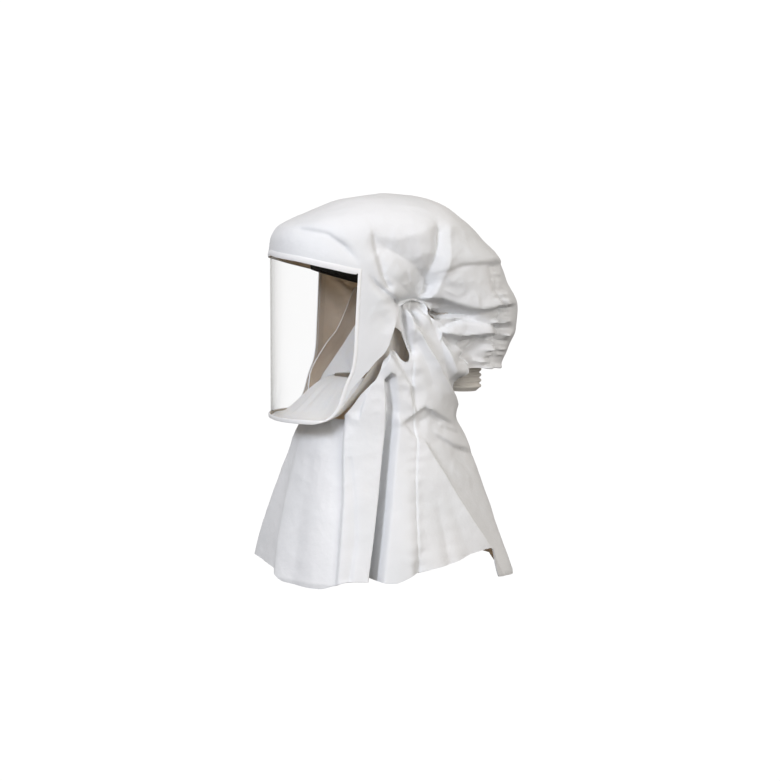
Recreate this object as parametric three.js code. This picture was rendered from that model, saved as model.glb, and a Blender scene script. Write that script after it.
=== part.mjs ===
// Respirator hood of coated cloth with a clear visor, an air duct hump at the back
// and an outer shroud that falls to the shoulders.
// Millimetres, +Z up. The origin is the top of the wearer's head.
// The face looks along -Y and the wearer's left is +X.

import * as THREE from 'three';
import { mergeVertices } from 'three/addons/utils/BufferGeometryUtils.js';

// Cloth
const cloth = 1.5;
const seamGap = 0.3;

// Hood shell
const crownRise = 38;
const chinDrop = 250;
const hoodFront = 150;
const hoodBack = 178;
const hoodHalf = 113;
const frontPower = 2.5;
const backPower = 2.2;

// Visor and its binding
const lensWall = 1.0;
const lensOverlap = 6;
const lensGap = 0.6;
const trimTop = 7;
const trimSide = 3.5;
const trimBottom = 8;
const trimWall = 1.4;
const trimGap = 0.6;
const trimProud = 0.6;

// Shroud
const shroudHalf = 170;
const shroudFront = 163;
const shroudBack = 158;
const hemDrop = 442;
const shroudTuck = 5;
const lapStart = 110;
const lapEnd = 142;
const tuckClearance = 5.6;
const lapClearance = 9.5;

// Neck
const neckHalf = 60;
const neckDepth = 66;
const neckDrop = 196;
const collarClearance = 1.5;

// Air duct base and breathing tube connector
const ductBaseWall = 2;
const humpHemShare = 0.748;
const ductBaseSeat = 4;
const ductBaseDrop = humpHemShare * chinDrop - ductBaseSeat - ductBaseWall;
const ductBaseFront = 84;
const tubeY = 106;
const tubeBore = 13.5;
const tubeBody = 21;
const tubeRib = 2.6;
const tubeRibs = 4;
const tubeFlange = 26;
const tubeFlangeWall = 3.5;
const tubeNeck = 17;
const tubeLength = 36;

// Head suspension
const headHalf = 76;
const headFront = 96;
const headBack = 92;
const bandHeight = 24;
const bandWall = 2.5;
const bandDrop = 47;
const bandSlope = 0.27;
const strapWidth = 22;
const strapWall = 2;
const bracketHalf = 30;
const bracketWall = 3;

// Column angles from the front, in degrees, closer together round the pinch
const lensColumns = 7;
const templeAngle = 60;
const sideAngles = [64, 68, 72, 76, 80, 84, 88, 92, 96, 100, 104, 108, 112, 116, 120, 124, 128, 133, 139, 146, 154, 162, 171, 180];
const crownRows = 9;
const faceRows = 10;
const shroudRows = 12;

const degrees = Math.PI / 180;

function lerp(a, b, t) {
  return a + (b - a) * t;
}

function smooth(low, high, value) {
  const t = Math.min(1, Math.max(0, (value - low) / (high - low)));
  return t * t * (3 - 2 * t);
}

// Reads a table at a key: a cubic through the rows that keeps their slopes
function readTable(rows, keyColumn, valueColumn, key) {
  const last = rows.length - 1;
  if (key <= rows[0][keyColumn]) return rows[0][valueColumn];
  if (key >= rows[last][keyColumn]) return rows[last][valueColumn];
  let i = 0;
  while (rows[i + 1][keyColumn] < key) i += 1;
  const slope = (a, b) => (rows[b][valueColumn] - rows[a][valueColumn]) / (rows[b][keyColumn] - rows[a][keyColumn]);
  const chord = slope(i, i + 1);
  const before = i > 0 ? slope(i - 1, i) : chord;
  const after = i + 1 < last ? slope(i + 1, i + 2) : chord;
  const startSlope = before * chord > 0 ? 2 * before * chord / (before + chord) : 0;
  const endSlope = after * chord > 0 ? 2 * after * chord / (after + chord) : 0;
  const span = rows[i + 1][keyColumn] - rows[i][keyColumn];
  const t = (key - rows[i][keyColumn]) / span;
  const rise = rows[i + 1][valueColumn] - rows[i][valueColumn];
  const ease = t * t * (3 - 2 * t);
  const startBend = t * (1 - t) * (1 - t) * span * startSlope;
  const endBend = t * t * (t - 1) * span * endSlope;
  return rows[i][valueColumn] + rise * ease + startBend + endBend;
}

// Level sections of the hood. depth is the square root of the share of the way
// from the crown's top to the chin. front, back and half are shares of
// hoodFront, hoodBack and hoodHalf.
const hoodSections = [
  { depth: 0.0, front: 0.0, back: 0.0, half: 0.0 },
  { depth: 0.072, front: 0.1, back: 0.13, half: 0.17 },
  { depth: 0.177, front: 0.41, back: 0.33, half: 0.5 },
  { depth: 0.264, front: 0.6, back: 0.455, half: 0.72 },
  { depth: 0.333, front: 0.79, back: 0.54, half: 0.85 },
  { depth: 0.391, front: 0.93, back: 0.62, half: 0.92 },
  { depth: 0.46, front: 0.985, back: 0.71, half: 0.97 },
  { depth: 0.553, front: 1.0, back: 0.87, half: 1.0 },
  { depth: 0.626, front: 1.0, back: 0.92, half: 1.0 },
  { depth: 0.712, front: 1.0, back: 1.0, half: 1.0 },
  { depth: 0.782, front: 1.0, back: 0.99, half: 1.0 },
  { depth: 0.833, front: 1.0, back: 0.935, half: 1.0 },
  { depth: 0.884, front: 1.0, back: 0.88, half: 1.0 },
  { depth: 1.0, front: 1.0, back: 0.8, half: 1.0 },
];

// Edge of the visor opening at the side: drop and y are shares of chinDrop and hoodFront
const visorSide = [
  { drop: 0.2, y: 0.4 },
  { drop: 0.54, y: 0.43 },
  { drop: 0.632, y: 0.437 },
  { drop: 0.716, y: 0.457 },
  { drop: 0.8, y: 0.51 },
  { drop: 0.916, y: 0.575 },
  { drop: 0.965, y: 0.64 },
  { drop: 0.99, y: 0.72 },
  { drop: 1.0, y: 0.78 },
];

// Brow edge, then the seam over the duct: angle in degrees, drop as a share of chinDrop
const browLine = [
  { angle: 0, drop: 0.144 },
  { angle: 25, drop: 0.166 },
  { angle: 45, drop: 0.204 },
  { angle: 60, drop: 0.232 },
  { angle: 90, drop: 0.245 },
  { angle: 135, drop: 0.225 },
  { angle: 180, drop: 0.2 },
];

// Lower edge of the cheeks and the hump: station angle in degrees, drop as a share of chinDrop
const hoodHem = [
  { angle: 60, drop: 0.916 },
  { angle: 64, drop: 0.8 },
  { angle: 71, drop: 0.69 },
  { angle: 77, drop: 0.63 },
  { angle: 81, drop: 0.54 },
  { angle: 87, drop: 0.41 },
  { angle: 97, drop: 0.385 },
  { angle: 106, drop: 0.41 },
  { angle: 113, drop: 0.47 },
  { angle: 119, drop: 0.6 },
  { angle: 127, drop: 0.735 },
  { angle: 140, drop: humpHemShare },
  { angle: 180, drop: humpHemShare },
];

// Folds of the hood as seen from the side. A path point is [y, depth below the
// crown]: shares of hoodFront ahead of the ear, of hoodBack behind it, and of the
// height from crown to chin. depth and width are shares of hoodHalf, a negative
// depth stands out. reach is the share of hoodHalf at which the fold starts.
const hoodFolds = [
  { path: [[-0.887, 0.153], [-0.673, 0.174], [-0.527, 0.226], [-0.4, 0.302], [-0.233, 0.392], [-0.027, 0.476]], depth: 0.05, width: 0.09, reach: 0.3 },
  { path: [[-0.8, 0.2], [-0.55, 0.3], [-0.35, 0.4]], depth: -0.03, width: 0.1, reach: 0.3 },
  { path: [[-0.293, 0.184], [-0.25, 0.28], [-0.2, 0.392]], depth: 0.045, width: 0.07, reach: 0.3 },
  { path: [[-0.13, 0.26], [0.08, 0.3]], depth: 0.09, width: 0.2, reach: 0.3 },
  { path: [[0.23, 0.153], [0.146, 0.326], [0.152, 0.403]], depth: 0.085, width: 0.1, reach: 0.35 },
  { path: [[0.3, 0.17], [0.28, 0.319], [0.19, 0.45]], depth: -0.06, width: 0.09, reach: 0.35 },
  { path: [[0.05, 0.441], [0.1, 0.45]], depth: 0.17, width: 0.19, reach: 0.35 },
  { path: [[0.3, 0.56], [0.44, 0.64], [0.52, 0.74]], depth: 0.27, width: 0.33, reach: 0.3 },
  { path: [[0.365, 0.335], [0.624, 0.305], [0.8, 0.305]], depth: 0.035, width: 0.07, reach: 0.0 },
  { path: [[0.348, 0.451], [0.764, 0.434]], depth: -0.06, width: 0.1, reach: 0.1 },
  { path: [[0.264, 0.535], [0.62, 0.535]], depth: 0.08, width: 0.12, reach: 0.3 },
  { path: [[0.45, 0.6], [0.6, 0.575], [0.77, 0.6]], depth: -0.05, width: 0.07, reach: 0.2 },
  { path: [[0.433, 0.645], [0.77, 0.625]], depth: 0.045, width: 0.06, reach: 0.2 },
  { path: [[0.567, 0.68], [0.567, 0.74]], depth: 0.04, width: 0.08, reach: 0.3 },
  { path: [[0.837, 0.47], [0.815, 0.587], [0.83, 0.632], [0.8, 0.76]], depth: 0.06, width: 0.06, reach: 0.2 },
];
const ruffleWaves = 6;
const ruffleShare = 0.022;

// Level sections of the shroud: drop as a share of hemDrop, the rest as shares of
// shroudFront, shroudBack and shroudHalf
const shroudSections = [
  { drop: 0.2, front: 0.6, back: 0.52, half: 0.55 },
  { drop: 0.3, front: 0.62, back: 0.58, half: 0.6 },
  { drop: 0.37, front: 0.64, back: 0.6, half: 0.635 },
  { drop: 0.45, front: 0.66, back: 0.585, half: 0.655 },
  { drop: 0.555, front: 0.67, back: 0.56, half: 0.675 },
  { drop: 0.61, front: 0.7, back: 0.63, half: 0.7 },
  { drop: 0.725, front: 0.795, back: 0.755, half: 0.78 },
  { drop: 0.88, front: 0.92, back: 0.9, half: 0.905 },
  { drop: 1.0, front: 1.0, back: 1.0, half: 1.0 },
];

// Top edge of the shroud: angle in degrees, drop as a share of chinDrop
const shroudTop = [
  { angle: 0, drop: 0.97 },
  { angle: 36, drop: 0.978 },
  { angle: 46, drop: 0.98 },
  { angle: 51, drop: 0.95 },
  { angle: 56, drop: 0.9 },
  { angle: 60, drop: 0.85 },
  { angle: 66, drop: 0.778 },
  { angle: 71, drop: 0.725 },
  { angle: 77, drop: 0.66 },
  { angle: 84, drop: 0.66 },
  { angle: 88, drop: 0.6 },
  { angle: 92, drop: 0.39 },
  { angle: 97, drop: 0.366 },
  { angle: 103, drop: 0.375 },
  { angle: 107, drop: 0.437 },
  { angle: 112, drop: 0.477 },
  { angle: 116, drop: 0.495 },
  { angle: 120, drop: 0.513 },
  { angle: 127, drop: 0.557 },
  { angle: 133, drop: 0.636 },
  { angle: 139, drop: 0.758 },
  { angle: 180, drop: 0.764 },
];

// Hem of the shroud: left and right are drops at the wearer's left and right, as shares of hemDrop
const shroudHem = [
  { angle: 0, left: 0.98, right: 0.98 },
  { angle: 16, left: 0.985, right: 0.975 },
  { angle: 28, left: 1.01, right: 0.985 },
  { angle: 47, left: 1.014, right: 1.0 },
  { angle: 62, left: 0.987, right: 1.005 },
  { angle: 79, left: 0.99, right: 0.985 },
  { angle: 89, left: 0.967, right: 0.97 },
  { angle: 105, left: 0.95, right: 0.96 },
  { angle: 120, left: 0.925, right: 0.965 },
  { angle: 127, left: 0.918, right: 0.97 },
  { angle: 132, left: 1.005, right: 0.98 },
  { angle: 150, left: 1.012, right: 1.0 },
  { angle: 180, left: 1.0, right: 1.0 },
];

// Drapes of the shroud: angles in degrees at the top and the hem, start as a share of
// hemDrop, rise as a share of shroudHalf (inwards below zero), width in degrees
const shroudDrapes = [
  { top: 5, hem: 18, start: 0.55, rise: 0.035, width: 9 },
  { top: 22, hem: 33, start: 0.6, rise: -0.03, width: 8 },
  { top: 48, hem: 54, start: 0.52, rise: 0.06, width: 9 },
  { top: 80, hem: 71, start: 0.45, rise: -0.13, width: 5.5 },
  { top: 88, hem: 79, start: 0.5, rise: 0.03, width: 6 },
  { top: 84, hem: 126, start: 0.5, rise: 0.06, width: 9 },
  { top: 96, hem: 134, start: 0.5, rise: -0.1, width: 6 },
  { top: 140, hem: 146, start: 0.6, rise: 0.04, width: 8 },
  { top: 160, hem: 163, start: 0.5, rise: -0.06, width: 8 },
  { top: 180, hem: 180, start: 0.35, rise: 0.03, width: 10 },
  { top: -12, hem: -16, start: 0.5, rise: 0.05, width: 9 },
  { top: -32, hem: -36, start: 0.5, rise: -0.06, width: 8 },
  { top: -50, hem: -55, start: 0.5, rise: 0.05, width: 10 },
  { top: -76, hem: -78, start: 0.45, rise: -0.11, width: 7 },
  { top: -92, hem: -98, start: 0.45, rise: 0.05, width: 9 },
  { top: -108, hem: -120, start: 0.5, rise: -0.08, width: 8 },
  { top: -138, hem: -142, start: 0.6, rise: 0.05, width: 10 },
];

// Creases of the shroud as seen from the side, in the form of the hood's folds
const shroudCreases = [
  { path: [[0.05, 0.57], [0.15, 0.69], [0.23, 0.78], [0.32, 0.89]], depth: -0.085, width: 0.09, reach: 0.3 },
  { path: [[-0.14, 0.69], [-0.05, 0.79], [0.0, 0.88]], depth: -0.04, width: 0.07, reach: 0.3 },
  { path: [[-0.03, 0.6], [0.0, 0.75], [0.06, 0.86]], depth: 0.06, width: 0.08, reach: 0.3 },
];
const tubeHollow = 0.1;
const tubeHollowWidth = 30;

const hoodHeight = crownRise + chinDrop;

// Distance from a point to a path, both in the side view
function distanceToPath(y, z, path) {
  let best = Infinity;
  for (let i = 0; i + 1 < path.length; i += 1) {
    const [ay, az] = path[i];
    const [by, bz] = path[i + 1];
    const length2 = (by - ay) ** 2 + (bz - az) ** 2;
    const t = Math.min(1, Math.max(0, ((y - ay) * (by - ay) + (z - az) * (bz - az)) / length2));
    best = Math.min(best, Math.hypot(y - lerp(ay, by, t), z - lerp(az, bz, t)));
  }
  return best;
}

// Paths of a fold table in millimetres
function foldsInPlace(folds) {
  return folds.map((fold) => ({
    ...fold,
    path: fold.path.map(([y, depth]) => [y < 0 ? y * hoodFront : y * hoodBack, crownRise - depth * hoodHeight]),
  }));
}

const placedHoodFolds = foldsInPlace(hoodFolds);
const placedShroudCreases = foldsInPlace(shroudCreases);

// Height that the folds give to a point, outwards along its normal
function foldHeight(point, folds) {
  let height = 0;
  for (const fold of folds) {
    const distance = distanceToPath(point.y, point.z, fold.path);
    const side = smooth(fold.reach * hoodHalf, (fold.reach + 0.25) * hoodHalf, Math.abs(point.x));
    const across = Math.exp(-((distance / (fold.width * hoodHalf)) ** 2));
    height -= fold.depth * hoodHalf * across * (fold.reach > 0 ? side : 1);
  }
  return height;
}

// Radius of a level section in one direction
function sectionRadius(angle, front, back, half) {
  const ahead = Math.cos(angle) > 0;
  const power = ahead ? frontPower : backPower;
  const length = ahead ? front : back;
  const across = Math.abs(Math.sin(angle) / half) ** power;
  const along = Math.abs(Math.cos(angle) / length) ** power;
  return (across + along) ** (-1 / power);
}

function polar(angle, radius, z) {
  return new THREE.Vector3(radius * Math.sin(angle), -radius * Math.cos(angle), z);
}

// Smooth form of the hood before its folds. angle is in radians from the front.
function hoodBase(angle, z) {
  const depth = Math.sqrt(Math.max(0, (crownRise - z) / hoodHeight));
  const front = hoodFront * readTable(hoodSections, 'depth', 'front', depth);
  const back = hoodBack * readTable(hoodSections, 'depth', 'back', depth);
  const half = hoodHalf * readTable(hoodSections, 'depth', 'half', depth);
  if (front < 0.01) return new THREE.Vector3(0, 0, z);
  return polar(angle, sectionRadius(angle, front, back, half), z);
}

function hoodNormal(angle, z) {
  const step = 0.01;
  const drop = Math.min(1, (crownRise - z) * 0.5);
  const across = hoodBase(angle + step, z).sub(hoodBase(angle - step, z));
  const down = hoodBase(angle, z - 1).sub(hoodBase(angle, z + drop));
  if (across.length() < 1e-6) return new THREE.Vector3(0, 0, 1);
  return down.cross(across).normalize();
}

// Angle of the visor opening's side edge at a height
function visorAngle(z) {
  const y = hoodFront * readTable(visorSide, 'drop', 'y', Math.max(0, -z) / chinDrop);
  const x = hoodHalf * (1 - (y / hoodFront) ** frontPower) ** (1 / frontPower);
  return Math.atan2(x, y);
}

function lineHeight(table, angle, drop) {
  return -drop * readTable(table, 'angle', 'drop', Math.abs(angle) / degrees);
}

// Gathers at the elastic of the hump: small waves down its back
function ruffleHeight(point) {
  const behind = smooth(0.8 * hoodBack, 0.86 * hoodBack, point.y);
  const below = smooth(-0.22 * chinDrop, -0.36 * chinDrop, point.z);
  const wave = Math.cos((point.z / chinDrop) * ruffleWaves * 2 * Math.PI / 0.5);
  return hoodHalf * ruffleShare * behind * below * wave;
}

// Hood surface with its folds, moved out by offset. Folds fade out at the visor.
function hoodPoint(angle, z, offset = 0) {
  const point = hoodBase(angle, z);
  const normal = hoodNormal(angle, z);
  const edge = visorAngle(z);
  const cheek = smooth(edge + 3 * degrees, edge + 14 * degrees, Math.abs(angle));
  const brow = smooth(4, 30, z - lineHeight(browLine, angle, chinDrop));
  const fade = Math.max(cheek, brow);
  const height = (foldHeight(point, placedHoodFolds) + ruffleHeight(point)) * fade;
  return point.addScaledVector(normal, height + offset);
}

// Shroud surface, hanging from inside the hood's lower edge
function shroudPoint(angle, z) {
  const drop = -z / hemDrop;
  const front = shroudFront * readTable(shroudSections, 'drop', 'front', drop);
  const back = shroudBack * readTable(shroudSections, 'drop', 'back', drop);
  const half = shroudHalf * readTable(shroudSections, 'drop', 'half', drop);
  let radius = sectionRadius(angle, front, back, half);
  for (const drape of shroudDrapes) {
    const fall = smooth(drape.start - 0.08, 1.0, drop);
    const place = lerp(drape.top, drape.hem, Math.min(1, Math.max(0, (drop - drape.start) / (1 - drape.start))));
    let away = angle / degrees - place;
    if (away > 180) away -= 360;
    if (away < -180) away += 360;
    radius += shroudHalf * drape.rise * fall * Math.exp(-((away / drape.width) ** 2));
  }
  const behind = (180 - Math.abs(angle / degrees)) / tubeHollowWidth;
  radius -= shroudHalf * tubeHollow * Math.exp(-(behind ** 2)) * (1 - smooth(0.5, 0.62, drop));
  const point = polar(angle, radius, z);
  radius += foldHeight(point, placedShroudCreases);
  return polar(angle, radius, z);
}

// Shroud surface near the hood's lower edge: tucked inside the cheeks and the pinch,
// and lapped over the hump behind them
function hungPoint(angle, z) {
  const point = shroudPoint(angle, z);
  const edge = lineHeight(hoodHem, angle, chinDrop);
  if (Math.abs(angle) > lapEnd * degrees) return point;
  const outside = Math.abs(angle) > lapStart * degrees;
  const clear = outside ? cloth + lapClearance : -cloth - tuckClearance;
  const hood = hoodPoint(angle, Math.max(z, edge), clear);
  const limit = Math.hypot(hood.x, hood.y);
  const radius = Math.hypot(point.x, point.y);
  const blend = smooth(edge - 3 * shroudTuck, edge - 0.4 * shroudTuck, z);
  const kept = outside ? Math.max(radius, limit) : Math.min(radius, limit);
  return polar(angle, lerp(radius, kept, blend), z);
}

// Turns an open sheet into a closed wall. The sheet's faces look outwards, and
// the wall goes inwards from it.
function wallOf(points, faces, thickness) {
  const used = new Map();
  const outer = [];
  for (const face of faces) {
    for (const corner of face) {
      if (!used.has(corner)) {
        used.set(corner, outer.length);
        outer.push(points[corner]);
      }
    }
  }
  const turned = faces.map((face) => face.map((corner) => used.get(corner)));
  const normals = outer.map(() => new THREE.Vector3());
  const borders = new Map();
  for (const [a, b, c] of turned) {
    const side = outer[b].clone().sub(outer[a]);
    const normal = side.cross(outer[c].clone().sub(outer[a]));
    for (const corner of [a, b, c]) normals[corner].add(normal);
    for (const [from, to] of [[a, b], [b, c], [c, a]]) {
      if (borders.has(`${to} ${from}`)) borders.delete(`${to} ${from}`);
      else borders.set(`${from} ${to}`, [from, to]);
    }
  }
  const inner = outer.map((point, i) => point.clone().addScaledVector(normals[i].normalize(), -thickness));
  const count = outer.length;
  const index = [];
  for (const [a, b, c] of turned) {
    index.push(a, b, c);
    index.push(a + count, c + count, b + count);
  }
  for (const [from, to] of borders.values()) {
    index.push(from, from + count, to);
    index.push(to, from + count, to + count);
  }
  const geometry = new THREE.BufferGeometry();
  const position = new Float32Array([...outer, ...inner].flatMap((point) => point.toArray()));
  geometry.setAttribute('position', new THREE.BufferAttribute(position, 3));
  geometry.setIndex(index);
  return geometry;
}

// Two triangles for each cell of a grid that is present. Rows run down the sheet
// and columns run from the wearer's right to the left, so that faces look out.
function gridFaces(rowCount, columnCount, closed, present) {
  const faces = [];
  const stride = closed ? columnCount : columnCount + 1;
  for (let row = 0; row < rowCount; row += 1) {
    for (let column = 0; column < columnCount; column += 1) {
      if (!present(row, column)) continue;
      const next = (column + 1) % stride;
      const a = row * stride + column;
      const b = row * stride + next;
      const c = (row + 1) * stride + column;
      const d = (row + 1) * stride + next;
      faces.push([a, c, d]);
      faces.push([a, d, b]);
    }
  }
  return faces;
}

// Stations round the hood from the back, past the right side and the front, to the
// left side. share is -1 to 1 across the visor, and angle is set behind it.
function stations() {
  const list = [];
  for (const angle of [...sideAngles].reverse().slice(1)) list.push({ side: -1, angle });
  for (let i = -lensColumns; i <= lensColumns; i += 1) list.push({ share: i / lensColumns });
  for (const angle of sideAngles) list.push({ side: 1, angle });
  return list;
}

const hoodStations = stations();

// Angle of a station at a height: the front ones follow the visor's side edge
function stationAngle(station, z) {
  const edge = visorAngle(z);
  if (station.share !== undefined) return station.share * edge;
  const behind = (station.angle - templeAngle) / (180 - templeAngle);
  return station.side * lerp(edge, Math.PI, behind);
}

// Height at which a station meets a line
function stationHeight(station, table) {
  const angle = station.share !== undefined ? station.share * templeAngle : station.angle;
  return lineHeight(table, angle * degrees, chinDrop);
}

// Points of the hood down one station, from the crown's top to the lower edge
function hoodColumn(station) {
  const brow = stationHeight(station, browLine);
  const hem = stationHeight(station, hoodHem);
  const points = [];
  for (let row = 0; row <= crownRows; row += 1) {
    const part = Math.cos((row / crownRows) * Math.PI / 2);
    const z = lerp(brow + lensOverlap, crownRise, part);
    points.push(hoodPoint(stationAngle(station, z), z));
  }
  for (let row = 0; row <= faceRows; row += 1) {
    const z = lerp(brow, hem, row / faceRows);
    points.push(hoodPoint(stationAngle(station, z), z));
  }
  return points;
}

function hoodShell() {
  const rows = crownRows + 1 + faceRows;
  const columns = hoodStations.map(hoodColumn);
  const points = [];
  for (let row = 0; row <= rows; row += 1) {
    for (const column of columns) points.push(column[row]);
  }
  const count = hoodStations.length;
  const present = (row, column) => {
    const next = hoodStations[(column + 1) % count];
    const inLens = hoodStations[column].share !== undefined && next.share !== undefined;
    return !(inLens && row > crownRows);
  };
  const faces = gridFaces(rows, count, true, present)
    .map((face) => face.map((corner) => (corner < count ? 0 : corner)))
    .filter(([a, b, c]) => a !== b && b !== c && c !== a);
  return wallOf(points, faces, cloth);
}

// The lens lies inside the hood's cloth and behind the binding. Its sides reach
// under the cheeks, down to where the cheeks end.
const lensOutset = -(cloth + lensGap);
const lensBottom = -chinDrop + 1;
const lensParts = [0, 0.35, 0.7, 0.84, 0.91, 0.95, 0.98, 1];

function lensMargin(z) {
  const cover = 1 - smooth(0.7 * chinDrop, 0.84 * chinDrop, -z);
  return lerp(seamGap, lensOverlap, cover) / hoodHalf;
}

function visor() {
  const columns = [{ share: -1, beyond: -1 }];
  for (let i = -lensColumns; i <= lensColumns; i += 1) columns.push({ share: i / lensColumns, beyond: 0 });
  columns.push({ share: 1, beyond: 1 });
  const points = [];
  for (const part of lensParts) {
    for (const { share, beyond } of columns) {
      const top = stationHeight({ share }, browLine) + lensOverlap;
      const z = lerp(top, lensBottom, part);
      const angle = share * visorAngle(z) + beyond * lensMargin(z);
      points.push(hoodBase(angle, z).addScaledVector(hoodNormal(angle, z), lensOutset));
    }
  }
  const faces = gridFaces(lensParts.length - 1, columns.length - 1, false, () => true);
  return wallOf(points, faces, lensWall);
}

// One loop round the opening, from its outer edge to its inner edge. Its sides
// share the heights of the hood's rows, then turn round the lower corner.
function visorTrim() {
  const acrossSteps = 2 * lensColumns;
  const cornerSteps = 4;
  const brow = stationHeight({ share: 1 }, browLine);
  const hem = stationHeight({ share: 1 }, hoodHem);
  const side = [];
  for (let i = 0; i <= faceRows; i += 1) side.push(lerp(brow - trimGap, hem, i / faceRows));
  for (let i = 1; i <= cornerSteps; i += 1) side.push(lerp(hem, -chinDrop, i / cornerSteps));
  const place = (share, z, inset) => {
    const angle = share * (visorAngle(z) - lerp(trimGap, trimSide, inset) / hoodHalf);
    return hoodBase(angle, z).addScaledVector(hoodNormal(angle, z), trimProud);
  };
  const outer = [];
  const inner = [];
  const add = (share, outerZ, innerZ) => {
    outer.push(place(share, outerZ, 0));
    inner.push(place(share, innerZ, 1));
  };
  const inside = (z) => lerp(brow - trimTop, -chinDrop + trimBottom, (brow - z) / (brow + chinDrop));
  for (let i = 1; i < acrossSteps; i += 1) {
    const share = (2 * i) / acrossSteps - 1;
    const top = stationHeight({ share }, browLine);
    add(share, top - trimGap, top - trimTop);
  }
  for (const z of side) add(1, z, inside(z));
  for (let i = 1; i < acrossSteps; i += 1) {
    const share = 1 - (2 * i) / acrossSteps;
    add(share, -chinDrop, -chinDrop + trimBottom);
  }
  for (const z of [...side].reverse()) add(-1, z, inside(z));
  return wallOf([...outer, ...inner], gridFaces(1, outer.length, true, () => true), trimWall);
}

function shroudStations() {
  const angles = [];
  const front = [0, 6, 12, 18, 24, 30, 36, 42, 47, 51.5, 56, 60];
  const side = [...front, ...sideAngles];
  for (const angle of side.slice(1, -1).reverse()) angles.push(-angle);
  for (const angle of side) angles.push(angle);
  return angles.map((angle) => angle * degrees);
}

function hemHeight(angle) {
  return -hemDrop * readTable(shroudHem, 'angle', angle > 0 ? 'left' : 'right', Math.abs(angle) / degrees);
}

function shroud() {
  const angles = shroudStations();
  const points = [];
  for (let row = 0; row <= shroudRows; row += 1) {
    for (const angle of angles) {
      const top = lineHeight(shroudTop, angle, chinDrop);
      points.push(hungPoint(angle, lerp(top, hemHeight(angle), (row / shroudRows) ** 1.15)));
    }
  }
  return wallOf(points, gridFaces(shroudRows, angles.length, true, () => true), cloth);
}

// Outer edge of the collar: angle in degrees, drop as a share of chinDrop,
// reach as a share of the hood's own radius there
const collarEdge = [
  { angle: 0, drop: 0.985, reach: 0.975 },
  { angle: 36, drop: 0.985, reach: 0.968 },
  { angle: 44, drop: 0.955, reach: 0.962 },
  { angle: 54, drop: 0.86, reach: 0.95 },
  { angle: 70, drop: 0.66, reach: 0.88 },
  { angle: 85, drop: 0.5, reach: 0.8 },
  { angle: 100, drop: 0.47, reach: 0.73 },
  { angle: 115, drop: 0.52, reach: 0.72 },
  { angle: 130, drop: 0.64, reach: 0.66 },
  { angle: 150, drop: 0.7, reach: 0.52 },
  { angle: 180, drop: 0.7, reach: 0.43 },
];

function innerCollar() {
  const columns = 36;
  const rows = 6;
  const points = [];
  for (let row = 0; row <= rows; row += 1) {
    const part = row / rows;
    for (let column = 0; column < columns; column += 1) {
      const angle = ((column / columns) * 2 - 1) * Math.PI;
      const edgeZ = lineHeight(collarEdge, angle, chinDrop);
      const share = readTable(collarEdge, 'angle', 'reach', Math.abs(angle) / degrees);
      const base = hoodBase(angle, edgeZ);
      const outer = Math.hypot(base.x, base.y) * share - collarClearance;
      const neck = sectionRadius(angle, neckDepth, neckDepth, neckHalf);
      const gather = part * part * neckHalf * 0.03 * Math.cos(angle * columns / 4);
      const sag = chinDrop * 0.045 * Math.sin(part * Math.PI);
      const z = lerp(edgeZ, -neckDrop, smooth(0, 1, part)) - sag * smooth(0, 60 * degrees, Math.abs(angle));
      points.push(polar(angle, lerp(outer, neck, part) + gather, z));
    }
  }
  const faces = gridFaces(rows, columns, true, () => true).map(([a, b, c]) => [a, c, b]);
  return wallOf(points, faces, cloth);
}

// Point of a hood column at a height below the brow
function columnAt(column, z) {
  let i = column.length - 1;
  while (i > 1 && column[i - 1].z < z) i -= 1;
  const part = (column[i - 1].z - z) / (column[i - 1].z - column[i].z);
  return column[i - 1].clone().lerp(column[i], Math.min(1, part));
}

function ductBase() {
  const inset = 2.8 * cloth + seamGap;
  const low = -ductBaseDrop - ductBaseWall;
  const wall = [];
  for (const station of hoodStations) {
    if (station.side !== 1 || stationHeight(station, hoodHem) > low) continue;
    const column = hoodColumn(station);
    const upper = columnAt(column, -ductBaseDrop);
    const lower = columnAt(column, low);
    const point = Math.hypot(upper.x, upper.y) < Math.hypot(lower.x, lower.y) ? upper : lower;
    const shrink = 1 - inset / Math.hypot(point.x, point.y);
    wall.push(new THREE.Vector2(point.x * shrink, point.y * shrink));
  }
  const first = wall.findIndex((point) => point.y > ductBaseFront);
  const part = (ductBaseFront - wall[first - 1].y) / (wall[first].y - wall[first - 1].y);
  const left = [wall[first - 1].clone().lerp(wall[first], part), ...wall.slice(first)];
  const right = left.slice(0, -1).map((point) => new THREE.Vector2(-point.x, point.y)).reverse();
  const shape = new THREE.Shape([...left, ...right]);
  const hole = new THREE.Path();
  hole.absarc(0, tubeY, tubeNeck + seamGap, 0, 2 * Math.PI, true);
  shape.holes.push(hole);
  const geometry = new THREE.ExtrudeGeometry(shape, { depth: ductBaseWall, bevelEnabled: false, curveSegments: 12 });
  geometry.translate(0, 0, -ductBaseDrop - ductBaseWall);
  return geometry;
}

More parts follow.
